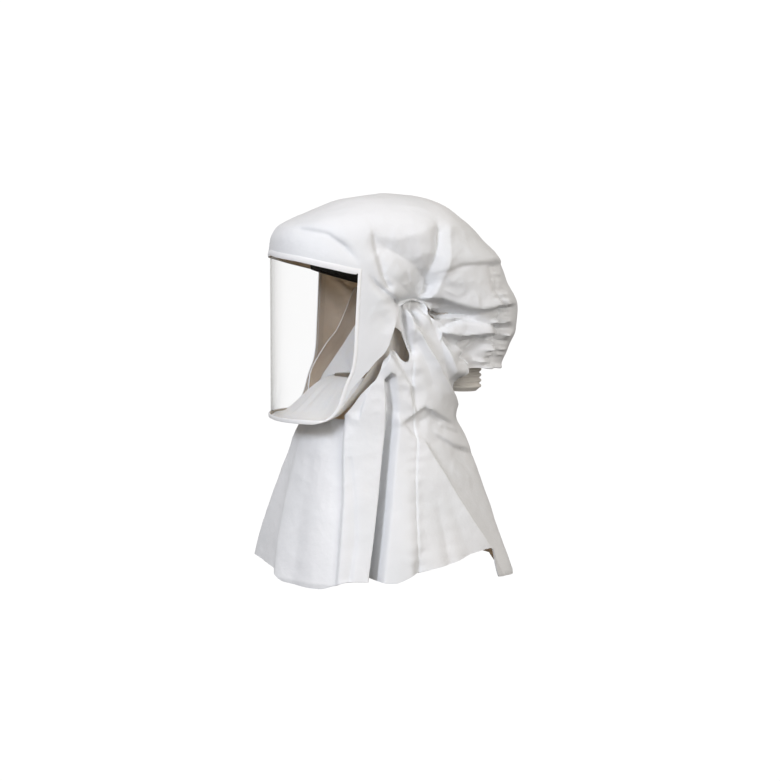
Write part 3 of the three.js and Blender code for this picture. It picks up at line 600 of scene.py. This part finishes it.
lens_mix = add_node(
    tree, "ShaderNodeMixShader",
    {0: lens_mirror.outputs[0], 1: lens_through.outputs[0], 2: lens_gloss.outputs[0]})
add_node(tree, "ShaderNodeOutputMaterial", {"Surface": lens_mix.outputs[0]})


def lens_margin(z):
    cover = 1 - smooth(0.7 * chin_drop, 0.84 * chin_drop, -z)
    return lerp(seam_gap, lens_overlap, cover) / hood_half


lens_shares = np.concatenate([[-1], share_list, [1]])
lens_beyond = np.concatenate([[-1], np.zeros(len(share_list)), [1]])
lens_part = np.linspace(0, 1, lens_rows + 1)[:, None]
lens_top = line_height(brow_line, lens_shares * temple_angle) + lens_overlap
lens_heights = lerp(lens_top, 1 - chin_drop, lens_part)
lens_angles = lens_shares * visor_angle(lens_heights) + lens_beyond * lens_margin(lens_heights)
lens_points = (
    hood_base(lens_angles, lens_heights)
    - hood_normal(lens_angles, lens_heights) * (cloth_wall + lens_gap))
visor = wall_piece(
    "visor_lens", lens_points, grid_quads(lens_rows, len(lens_shares) - 1, False), lens_wall,
    [clear_sheet])
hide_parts("visor")
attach(visor, "root")

# Visor trim
# Woven white binding, folded over the edge of the opening and stitched down round
# the whole lens. It is wider at the brow and the chin than at the sides.

trim_top = 5.5
trim_side = 2.2
trim_bottom = 5.5
trim_wall = 1.4
trim_lap = 1.6
trim_proud = 0.35
trim_bulge = 0.5
trim_side_steps = 60
trim_chin_steps = 24
trim_steps = 8

binding = cloth_material("white_binding", "#f6f7f8", "#f1f2f4", 0.62, 0.0003, 0.0)
trim_brow = float(line_height(brow_line, temple_angle))
trim_hem = float(line_height(hood_hem, temple_angle))
trim_sides = np.concatenate([
    lerp(trim_brow + trim_lap, trim_hem, np.linspace(0, 1, trim_side_steps + 1)),
    lerp(trim_hem, -chin_drop, np.linspace(0, 1, trim_chin_steps + 1)[1:]),
])
trim_inside = lerp(
    trim_brow - trim_top, trim_bottom - chin_drop,
    (trim_brow - trim_sides) / (trim_brow + chin_drop))
across_shares = share_list[1:-1]
across_tops = line_height(brow_line, across_shares * temple_angle)
trim_shares = np.concatenate([
    across_shares, np.ones(len(trim_sides)), -across_shares, -np.ones(len(trim_sides))])
trim_outer = np.concatenate([
    across_tops + trim_lap, trim_sides, np.full(len(across_shares), -chin_drop), trim_sides[::-1]])
trim_inner = np.concatenate([
    across_tops - trim_top, trim_inside,
    np.full(len(across_shares), trim_bottom - chin_drop), trim_inside[::-1]])
trim_inset = np.linspace(0, 1, trim_steps + 1)[:, None]
trim_heights = lerp(trim_outer, trim_inner, trim_inset)
trim_angles = trim_shares * (
    visor_angle(trim_heights) + lerp(trim_lap, -trim_side, trim_inset) / hood_half)
trim_rise = trim_proud + trim_bulge * np.sin(math.pi * trim_inset) ** 0.6
trim_points = (
    hood_base(trim_angles, trim_heights)
    + hood_normal(trim_angles, trim_heights) * trim_rise[..., None])
trim_walls = np.where(trim_inset < 0.35, 0.25 + trim_rise - trim_proud, trim_wall)
trim_walls = np.broadcast_to(trim_walls, trim_heights.shape)
# Inside of the binding: the inner cloth, whose beige is painted warm shade.
visor_trim = wall_piece(
    "visor_binding", trim_points, grid_quads(trim_steps, len(trim_shares), True), trim_walls,
    [binding, inner_cloth])
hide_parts("visor_trim")
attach(visor_trim, "root")

# Shroud
# Outer skirt of the same coated cloth, sewn inside the cheeks and lapped over the
# hump. It falls to the shoulders in deep drapes, with one seam down the left side.

shroud_half = 170
shroud_front = 163
shroud_back = 158
hem_drop = 442
shroud_tuck = 5
lap_start = 110
lap_end = 142
lap_before = 4
lap_after = 3
lap_fade = 6
tuck_clearance = 5.6
lap_clearance = 9.5
tube_hollow = 0.1
tube_hollow_width = 30

shroud_sections = table("drop front back half", [
    (0.2, 0.6, 0.52, 0.55),
    (0.3, 0.62, 0.58, 0.6),
    (0.37, 0.64, 0.6, 0.635),
    (0.45, 0.66, 0.585, 0.655),
    (0.555, 0.67, 0.56, 0.675),
    (0.61, 0.7, 0.63, 0.7),
    (0.725, 0.795, 0.755, 0.78),
    (0.88, 0.92, 0.9, 0.905),
    (1.0, 1.0, 1.0, 1.0),
])
shroud_top = table("angle drop", [
    (0, 0.97),
    (36, 0.978),
    (46, 0.98),
    (51, 0.95),
    (56, 0.9),
    (60, 0.852),
    (66, 0.8),
    (69, 0.776),
    (72, 0.728),
    (74, 0.68),
    (77, 0.655),
    (80, 0.55),
    (83, 0.45),
    (88, 0.39),
    (97, 0.36),
    (103, 0.37),
    (108.5, 0.395),
    (110.5, 0.45),
    (112, 0.477),
    (116, 0.495),
    (120, 0.513),
    (127, 0.557),
    (133, 0.636),
    (139, 0.758),
    (180, 0.764),
])
# Opening behind the left cheek, as seen from the side
cheek_hole = [
    (-34, -127), (-15, -129), (-7, -134), (5, -161), (2, -170), (-1, -174), (-8, -169),
    (-16, -158), (-34, -157)]
shroud_hem = table("angle left right", [
    (0, 0.98, 0.98),
    (16, 0.985, 0.975),
    (28, 1.01, 0.985),
    (47, 1.014, 1.0),
    (62, 0.987, 1.005),
    (79, 0.99, 0.985),
    (89, 0.967, 0.97),
    (105, 0.95, 0.96),
    (120, 0.925, 0.965),
    (127, 0.918, 0.97),
    (132, 1.005, 0.98),
    (150, 1.012, 1.0),
    (180, 1.0, 1.0),
])

# Drapes: angles at the top and the hem, start as a share of hem_drop, rise in
# millimetres, width in degrees, form as for the folds, step in millimetres
drapes = table("top hem start rise width form step", [
    (0, 19, 0.55, 2, 8, 1.4, 3.5),
    (26, 33, 0.6, -5, 8, 1.6, 0),
    (86, 80, 0.5, 5, 7, 1.8, 0),
    (104, 118, 0.6, -5, 7, 1.6, 0),
    (140, 146, 0.6, 7, 8, 1.8, 0),
    (160, 163, 0.5, -10, 8, 1.8, 0),
    (180, 180, 0.35, 5, 10, 2.0, 0),
    (-12, -16, 0.5, 8, 9, 1.5, 0),
    (-32, -36, 0.5, -10, 8, 1.6, 0),
    (-50, -55, 0.5, 9, 10, 1.4, 0),
    (-76, -78, 0.45, -19, 6, 2.4, 0),
    (-92, -98, 0.45, 9, 9, 1.5, 0),
    (-108, -120, 0.5, -14, 8, 1.7, 0),
    (-138, -142, 0.6, 9, 10, 1.6, 0),
])
shroud_folds = fold_list([
    ([(-2, -99), (-2, -118), (1, -139), (8, -160)], -15, 4, 1.3, 0, 1, 1.0, 0.7, 40),
    ([(10, -100), (6, -111), (8, -133)], 3.5, 3.5, 1.6, 0, 1, 1.0, 0.6, 40),
    ([(20, -93), (11, -111), (17, -128)], -20, 4.5, 1.4, 0, 1, 1.0, 0.5, 40),
    ([(28, -96), (28, -120)], 4, 7, 1.6, 0, 1, 1.0, 0.4, 40),
    ([(9, -116), (18, -134), (28, -152), (39, -171), (49, -190), (61, -210), (74, -228)],
     5, 5, 1.4, -7.0, 16, 1.0, 0.8, 40),
    ([(14, -150), (26, -172), (34, -200)], -6, 9, 1.5, 0, 1, 1.0, 0.4, 40),
    ([(-21, -159), (-10, -178), (-4, -188), (5, -202), (7, -222)],
     -3, 3, 1.3, -4.5, 13, 1.0, 0.7, 40),
    ([(-26, -170), (-20, -190), (-18, -215)], 5, 9, 1.5, 0, 1, 1.0, 0.5, 40),
    ([(-78, -232), (-80, -265), (-86, -341), (-93, -388), (-100, -435)],
     0, 1, 2.0, 6.5, 26, 1.0, 0.5, 20),
    ([(-72, -292), (-72, -340), (-75, -387), (-85, -434)], -2.5, 4.5, 1.4, 1.2, 10, 0.6, 1.0, 20),
    ([(-110, -240), (-96, -262), (-84, -246)], -7, 14, 2.0, 0, 1, 1.0, 1.0, 0),
    ([(-12, -241), (4, -262), (21, -272), (38, -301), (57, -335), (76, -368), (101, -407)],
     5, 11, 1.2, -7.5, 30, 0.25, 1.0, 40),
    ([(5, -240), (22, -230), (32, -235), (54, -247)], 0, 1, 2.0, 3.2, 14, 1.0, 0.8, 40),
    ([(16, -246), (30, -241), (44, -249)], -2.5, 4, 1.5, 0, 1, 1.0, 0.8, 40),
    ([(44, -268), (64, -280), (80, -286)], -1.5, 3.5, 1.4, 3.0, 12, 0.6, 1.0, 30),
    ([(50, -256), (72, -264)], -1.5, 3, 1.5, 1.5, 8, 0.8, 1.0, 30),
    ([(66, -292), (84, -312)], -1.5, 6, 1.6, 0, 1, 1.0, 1.0, 30),
    ([(3, -404), (-2, -428)], -6, 6, 1.5, 0, 1, 0.3, 1.0, 40),
    ([(-6, -330), (-10, -430)], 4, 12, 1.8, 0, 1, 0.5, 1.0, 40),
    ([(30, -340), (42, -420)], -3.5, 9, 1.6, 0, 1, 0.4, 1.0, 40),
])

# Deep pleat at the left, which runs in under the panel before it
pleat = fold_list([
    ([(-22, -196), (-20, -219), (-22, -256), (-28, -292), (-36, -340), (-45, -387), (-55, -436)],
     -46, 6.0, 3.6, 0, 1, 0.25, 1.0, 40),
])
pleat_tuck = 0.45

# Seam down the left side, drawn in along its stitches, with small puckers beside it
shroud_seam = [(8, -172), (6, -234), (9, -273), (4, -317), (1, -365), (-1, -425)]
seam_reach = 60
seam_fade = 20
seam_groove = 1.2
seam_step = 0.5
pucker_rise = 0.45
pucker_pitch = 17


def seam_puckers(point):
    away, offset, share = nearest_on_path(point[..., 1], point[..., 2], shroud_seam)
    side = smooth(seam_reach, seam_reach + seam_fade, point[..., 0])
    groove = -seam_groove * np.exp(-(away / 1.2) ** 2)
    groove = groove + seam_step * np.tanh(offset / 0.8) * np.exp(-(away / 7) ** 2)
    pull = np.cos(2 * math.pi * point[..., 2] / pucker_pitch + 2.2 * np.sin(point[..., 2] / 23))
    pucker = pucker_rise * pull * np.exp(-(away / 11) ** 1.5) * smooth(0.0, 3.0, away)
    return side * (groove + pucker)


def shroud_point(angle, z):
    drop = -z / hem_drop
    front, back, half = (
        size * read_table(shroud_sections, "drop", column, drop)
        for size, column in ((shroud_front, "front"), (shroud_back, "back"), (shroud_half, "half")))
    radius = section_radius(angle, front, back, half)
    degrees = np.degrees(angle)
    for top, hem, start, rise, width, form, step in zip(*drapes.values()):
        fall = smooth(start - 0.08, 1.0, drop)
        place = lerp(top, hem, np.clip((drop - start) / (1 - start), 0, 1))
        away = (degrees - place + 180) % 360 - 180
        radius = radius + rise * fall * np.exp(-np.abs(away / width) ** form)
        radius = radius + step * fall * np.tanh(away / 1.2) * np.exp(-np.abs(away / 14) ** 1.5)
    behind = (180 - np.abs(degrees)) / tube_hollow_width
    radius = radius - (
        shroud_half * tube_hollow * np.exp(-behind ** 2) * (1 - smooth(0.5, 0.62, drop)))
    point = polar(angle, radius, z)
    tuck = fold_height(point, pleat, across_middle=False)
    radius = radius + fold_height(point, shroud_folds, across_middle=False) + seam_puckers(point)
    high = smooth(0.85, 0.45, drop)
    radius = radius + tuck + (0.25 + 0.35 * high) * crumple(point, 40, 11.0)
    return polar(angle + pleat_tuck * tuck / radius, radius, z)


def hung_point(angle, z):
    """Shroud near the hood's lower edge: tucked inside the cheeks, lapped over the hump."""
    point = shroud_point(angle, z)
    degrees = np.abs(np.degrees(angle))
    edge = line_height(hood_hem, degrees)
    outside = smooth(lap_start - lap_before, lap_start + lap_after, degrees)
    over = hood_point(angle, np.maximum(z, edge), cloth_wall + lap_clearance)
    under = hood_point(angle, np.maximum(z, edge), -cloth_wall - tuck_clearance)
    radius = np.hypot(point[..., 0], point[..., 1])
    blend = smooth(edge - 3 * shroud_tuck, edge - 0.4 * shroud_tuck, z)
    kept = lerp(
        np.minimum(radius, np.hypot(under[..., 0], under[..., 1])),
        np.maximum(radius, np.hypot(over[..., 0], over[..., 1])), outside)
    moved = lerp(radius, kept, blend)
    turned = np.arctan2(point[..., 0], -point[..., 1])
    return polar(turned, lerp(moved, radius, smooth(lap_end - lap_fade, lap_end, degrees)), z)


shroud_columns = 360
shroud_rows = 136

# Columns are closest on the left side, where the folds are: how many, degrees apart
column_steps = np.concatenate([
    np.full(count, apart) for count, apart in ((120, 1.7), (205, 0.54), (35, 1.3))])
shroud_angles = np.radians(np.cumsum(column_steps) * 360 / column_steps.sum() - 180)
shroud_degrees = np.degrees(shroud_angles)
hem_share = np.where(
    shroud_degrees > 0,
    read_table(shroud_hem, "angle", "left", np.abs(shroud_degrees)),
    read_table(shroud_hem, "angle", "right", np.abs(shroud_degrees)))

# Along the right side the top reaches up past the hood's edge, so that no gap shows
right_tuck = 15
right_turns = (-8, -4, 0, 4, 8)
left_top = line_height(shroud_top, shroud_degrees)
hem_above = np.max([
    np.interp(shroud_degrees + turn, np.degrees(hood_angles[-1]), hood_heights[-1])
    for turn in right_turns], axis=0)
right_top = np.maximum(left_top, hem_above + right_tuck)
on_right = smooth(-40, -46, shroud_degrees) * smooth(-142, -134, shroud_degrees)
top_heights = lerp(left_top, right_top, on_right)
shroud_part = (np.linspace(0, 1, shroud_rows + 1) ** 1.1)[:, None]
shroud_heights = lerp(top_heights, -hem_drop * hem_share, shroud_part)


def cut_hole(surface, angles, heights, outline):
    """Leaves out the squares inside the outline and draws their edge on to it."""
    points = surface(angles, heights)
    y, z = points[..., 1], points[..., 2]
    line = np.array(outline + outline[:1], float)
    inside = np.zeros(y.shape, bool)
    for (ay, az), (by, bz) in zip(line[:-1], line[1:]):
        crosses = (az > z) != (bz > z)
        inside ^= crosses & (y < ay + (z - az) * (by - ay) / (bz - az + 1e-9))
    inside &= points[..., 0] > 0
    gone = inside[:-1] & inside[1:] & np.roll(inside[:-1], -1, 1) & np.roll(inside[1:], -1, 1)
    edge = np.zeros(y.shape, bool)
    for row, turn in ((0, 0), (1, 0), (0, 1), (1, 1)):
        edge[row:row + len(gone)] |= np.roll(gone, turn, 1)
    whole = np.zeros(y.shape, bool)
    kept = ~gone
    for row, turn in ((0, 0), (1, 0), (0, 1), (1, 1)):
        whole[row:row + len(gone)] |= np.roll(kept, turn, 1)
    rim = edge & whole
    best = np.full(y.shape, np.inf)
    goal_y, goal_z = y.copy(), z.copy()
    for (ay, az), (by, bz) in zip(line[:-1], line[1:]):
        length = math.hypot(by - ay, bz - az)
        dy, dz = (by - ay) / length, (bz - az) / length
        along = np.clip((y - ay) * dy + (z - az) * dz, 0, length)
        near_y, near_z = ay + along * dy, az + along * dz
        away = np.hypot(y - near_y, z - near_z)
        closer = away < best
        best = np.where(closer, away, best)
        goal_y, goal_z = np.where(closer, near_y, goal_y), np.where(closer, near_z, goal_z)
    radius = np.hypot(points[..., 0], points[..., 1])
    shift = (goal_y - y) / np.maximum(radius * np.abs(np.sin(angles)), 1)
    return np.where(rim, angles + shift, angles), np.where(rim, goal_z, heights), kept


shroud_grid, shroud_heights, shroud_kept = cut_hole(
    hung_point, np.broadcast_to(shroud_angles, shroud_heights.shape), shroud_heights, cheek_hole)
shroud_points = hung_point(shroud_grid, shroud_heights)
# Inside of the skirt: the inner cloth, whose beige is painted warm shade.
shroud = wall_piece(
    "shroud_cloth", shroud_points, grid_quads(shroud_rows, shroud_columns, True, shroud_kept),
    cloth_wall, [coated_cloth, inner_cloth])
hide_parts("shroud")
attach(shroud, "root")

# Inner collar
# Funnel of softer uncoated cloth from the cheeks and the chin to the neck, gathered
# there by a cord run in its hem. It is what shows behind the lower part of the lens.

neck_half = 60
neck_depth = 66
neck_drop = 196
collar_clearance = 1.5
neck_ruffle = 0.03
collar_pucker = 1.3
collar_slack = 0.045
collar_edge = table("angle drop reach", [
    (0, 0.985, 0.975),
    (36, 0.985, 0.968),
    (44, 0.955, 0.962),
    (54, 0.86, 0.95),
    (70, 0.66, 0.88),
    (85, 0.5, 0.8),
    (100, 0.47, 0.73),
    (115, 0.52, 0.72),
    (130, 0.64, 0.66),
    (150, 0.7, 0.52),
    (180, 0.7, 0.43),
])
collar_cloth = cloth_material("collar_cloth", "#f4f3f1", "#eeece9", 0.75, 0.00018, 0.0, 0.7)
collar_columns = 288
collar_rows = 60
collar_part = np.linspace(0, 1, collar_rows + 1)[:, None]
collar_angle = np.radians(np.arange(collar_columns) * 360 / collar_columns - 180)[None, :]
collar_degrees = np.degrees(collar_angle)
collar_top = line_height(collar_edge, collar_degrees)
collar_reach = read_table(collar_edge, "angle", "reach", np.abs(collar_degrees))
collar_base = hood_base(collar_angle, collar_top)
collar_outer = np.hypot(collar_base[..., 0], collar_base[..., 1]) * collar_reach - collar_clearance
collar_neck = section_radius(collar_angle, neck_depth, neck_depth, neck_half)
collar_gather = collar_part ** 2 * neck_half * neck_ruffle * np.cos(collar_angle * 9)
collar_gather = collar_gather + collar_pucker * np.sin(math.pi * collar_part) * (
    np.cos(collar_angle * 31 + 1.0) + 0.6 * np.cos(collar_angle * 47 + 4.0))
collar_sag = chin_drop * collar_slack * np.sin(collar_part * math.pi)
collar_heights = lerp(collar_top, -neck_drop, smooth(0, 1, collar_part)) - (
    collar_sag * smooth(0, math.radians(60), np.abs(collar_angle)))
collar_points = polar(
    collar_angle, lerp(collar_outer, collar_neck, collar_part) + collar_gather, collar_heights)
collar_quads = grid_quads(collar_rows, collar_columns, True)[:, ::-1]
inner_collar = wall_piece("collar_funnel", collar_points, collar_quads, cloth_wall, [collar_cloth])
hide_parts("inner_collar")
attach(inner_collar, "root")

# Duct base
# Flat panel of doubled cloth that closes the hump from below, with a round hole for
# the neck of the tube connector.

duct_wall = 2
duct_drop = 181
duct_front = 84
tube_y = 106
tube_neck = 17
duct_sides = 192
duct_rings = 12
duct_turn = np.radians(np.arange(duct_sides) * 360 / duct_sides)
duct_behind = np.linspace(0.3, 1, 300)
duct_z = np.full(duct_behind.shape, -duct_drop - duct_wall / 2)
duct_skin = hood_point(station_angle(1.0, 1.0, duct_behind, duct_z), duct_z)
duct_inset = 2.8 * cloth_wall + seam_gap
duct_shrink = 1 - duct_inset / np.hypot(duct_skin[:, 0], duct_skin[:, 1])
duct_edge = duct_skin[:, :2] * duct_shrink[:, None]
duct_edge = duct_edge[duct_edge[:, 1] > duct_front]
duct_edge = np.concatenate([duct_edge, duct_edge[::-1] * (-1, 1)])
front_x = np.linspace(-duct_edge[0, 0], duct_edge[0, 0], 80)
front_line = np.stack([front_x, np.full(len(front_x), duct_front)], -1)
duct_edge = np.concatenate([duct_edge, front_line])
edge_turn = np.arctan2(duct_edge[:, 1] - tube_y, duct_edge[:, 0])
edge_reach = np.hypot(duct_edge[:, 0], duct_edge[:, 1] - tube_y)
order = np.argsort(edge_turn)
outer_reach = np.interp(duct_turn, edge_turn[order], edge_reach[order], period=2 * math.pi)
duct_part = np.linspace(0, 1, duct_rings + 1)[:, None]
duct_reach = lerp(tube_neck + seam_gap, outer_reach, duct_part)
duct_top = np.full(duct_reach.shape, -float(duct_drop))
duct_points = np.stack([
    duct_reach * np.cos(duct_turn), tube_y + duct_reach * np.sin(duct_turn), duct_top], -1)
duct_base = wall_piece(
    "duct_panel", duct_points, grid_quads(duct_rings, duct_sides, True), duct_wall, [collar_cloth])
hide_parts("duct_base")
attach(duct_base, "root")

# Tube connector
# Spigot for the breathing tube, moulded in off-white polypropylene with rounded barbs
# for the hose. Its neck passes through the duct base and its flange lies under it.

tube_bore = 13.5
tube_body = 21
tube_rib = 2.6
tube_ribs = 4
tube_flange = 26
tube_flange_wall = 3.5
tube_length = 36
tube_tip = 4
tube_above = 4
tube_sides = 96

moulded, tree = new_material("moulded_polypropylene")
tube_place = add_node(tree, "ShaderNodeTexCoord").outputs["Object"]
tube_grain = add_node(tree, "ShaderNodeTexNoise", {"Vector": tube_place}, Scale=900.0, Detail=2.0)
tube_tone = add_node(tree, "ShaderNodeTexNoise", {"Vector": tube_place}, Scale=30.0, Detail=2.0)
tube_ramp = add_node(tree, "ShaderNodeValToRGB", {"Fac": tube_tone.outputs["Fac"]})
tube_ramp.color_ramp.elements[0].color = linear("#eceae6")
tube_ramp.color_ramp.elements[1].color = linear("#e2dfd9")
tube_bump = add_node(
    tree, "ShaderNodeBump", {"Height": tube_grain.outputs["Fac"]}, Strength=0.3, Distance=0.0001)
tube_rough = add_node(
    tree, "ShaderNodeMapRange", {"Value": tube_grain.outputs["Fac"]}, To_Min=0.36, To_Max=0.48)
tube_shader = add_node(
    tree, "ShaderNodeBsdfPrincipled",
    {"Base Color": tube_ramp.outputs["Color"], "Roughness": tube_rough.outputs[0],
     "Normal": tube_bump.outputs[0]}, IOR=1.49)
add_node(tree, "ShaderNodeOutputMaterial", {"Surface": tube_shader.outputs[0]})

flange_top = -duct_drop - duct_wall - seam_gap
flange_bottom = flange_top - tube_flange_wall
tube_bottom = flange_top - tube_length
rib_pitch = (flange_bottom - tube_bottom - tube_tip) / tube_ribs
tube_top = tube_above - duct_drop
outline = [(tube_bore, tube_top), (tube_bore, tube_bottom + 0.6), (tube_bore + 0.6, tube_bottom)]
outline += [(tube_body - 4.6, tube_bottom), (tube_body - 4.0, tube_bottom + 0.5)]
for rib in range(tube_ribs):
    low = tube_bottom + tube_tip + rib * rib_pitch
    for part in np.linspace(0, 1, 13):
        swell = math.sin(math.pi * min(1, part / 0.75)) ** 0.7 if part < 0.75 else 0
        outline.append((tube_body + tube_rib * swell, low + rib_pitch * part * 0.98))
outline += [(tube_body, flange_bottom - 0.2), (tube_flange - 0.6, flange_bottom)]
outline += [(tube_flange, flange_bottom + 0.6), (tube_flange, flange_top - 0.6)]
outline += [(tube_flange - 0.6, flange_top), (tube_neck, flange_top), (tube_neck, tube_top - 0.5)]
outline += [(tube_neck - 0.5, tube_top)]
outline = np.array(outline)
tube_turn = np.radians(np.arange(tube_sides) * 360 / tube_sides)
tube_points = np.stack([
    outline[:, :1] * np.cos(tube_turn), tube_y + outline[:, :1] * np.sin(tube_turn),
    np.broadcast_to(outline[:, 1:], (len(outline), tube_sides))], -1)
tube_rows = np.arange(len(outline))
tube_next = np.roll(tube_rows, -1)
turn_now = np.arange(tube_sides)
turn_next = np.roll(turn_now, -1)
tube_quads = np.stack([
    tube_rows[:, None] * tube_sides + turn_now, tube_rows[:, None] * tube_sides + turn_next,
    tube_next[:, None] * tube_sides + turn_next, tube_next[:, None] * tube_sides + turn_now,
], -1).reshape(-1, 4)
tube_connector = make_object(
    "tube_spigot", tube_points.reshape(-1, 3), tube_quads.tolist(), [moulded], sharp=35)
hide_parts("tube_connector")
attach(tube_connector, "root")

# Head suspension
# Brow band of black foam-backed cloth, a webbing strap over the head, and the plain
# bracket that holds the band to the brow of the hood.

head_half = 76
head_front = 96
head_back = 92
band_height = 24
band_wall = 2.5
band_drop = 47
band_slope = 0.27
band_sides = 180
band_rings = 12
band_edge = 0.8
strap_width = 22
strap_wall = 2
strap_steps = 96
strap_strands = 12
strap_edge = 0.5

black_foam = cloth_material("black_foam", "#0e0c0c", "#0a0909", 0.9, 0.0003, 0.0)
grey_webbing = cloth_material("grey_webbing", "#d8d6d1", "#cdcac4", 0.7, 0.0004, 0.0)


def band_height_at(y):
    return -band_drop - band_slope * (y + head_front)


band_turn = np.radians(np.arange(band_sides) * 360 / band_sides - 180)
band_part = np.linspace(0, 1, band_rings + 1)[:, None]
band_round = band_edge * (1 - np.sin(math.pi * band_part) ** 0.5)
band_reach = section_radius(band_turn, head_front, head_back, head_half) - band_round
band_flat = polar(band_turn, band_reach, np.zeros(band_reach.shape))
band_flat[..., 2] = band_height_at(band_flat[..., 1]) + band_height * (0.5 - band_part)
head_band = wall_piece(
    "brow_band", band_flat, grid_quads(band_rings, band_sides, True), band_wall - band_edge,
    [black_foam])
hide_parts("head_band")
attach(head_band, "root")

strap_foot = band_height_at(0) + band_height / 2 + seam_gap + band_slope * strap_width / 2
strap_turn = np.linspace(0, math.pi, strap_steps + 1)
strap_part = np.linspace(-0.5, 0.5, strap_strands + 1)[:, None]
strap_round = strap_edge * np.abs(2 * strap_part) ** 6
strap_points = np.stack(np.broadcast_arrays(
    (head_half - strap_round) * np.cos(strap_turn), strap_width * strap_part,
    strap_foot + (strap_wall - strap_round - strap_foot) * np.sin(strap_turn)), -1)
crown_strap = wall_piece(
    "crown_webbing", strap_points, grid_quads(strap_strands, strap_steps, False),
    strap_wall - strap_edge, [grey_webbing])
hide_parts("crown_strap")
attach(crown_strap, "root")

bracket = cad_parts["brow_bracket"]
bracket.data.materials.clear()
bracket.data.materials.append(moulded)
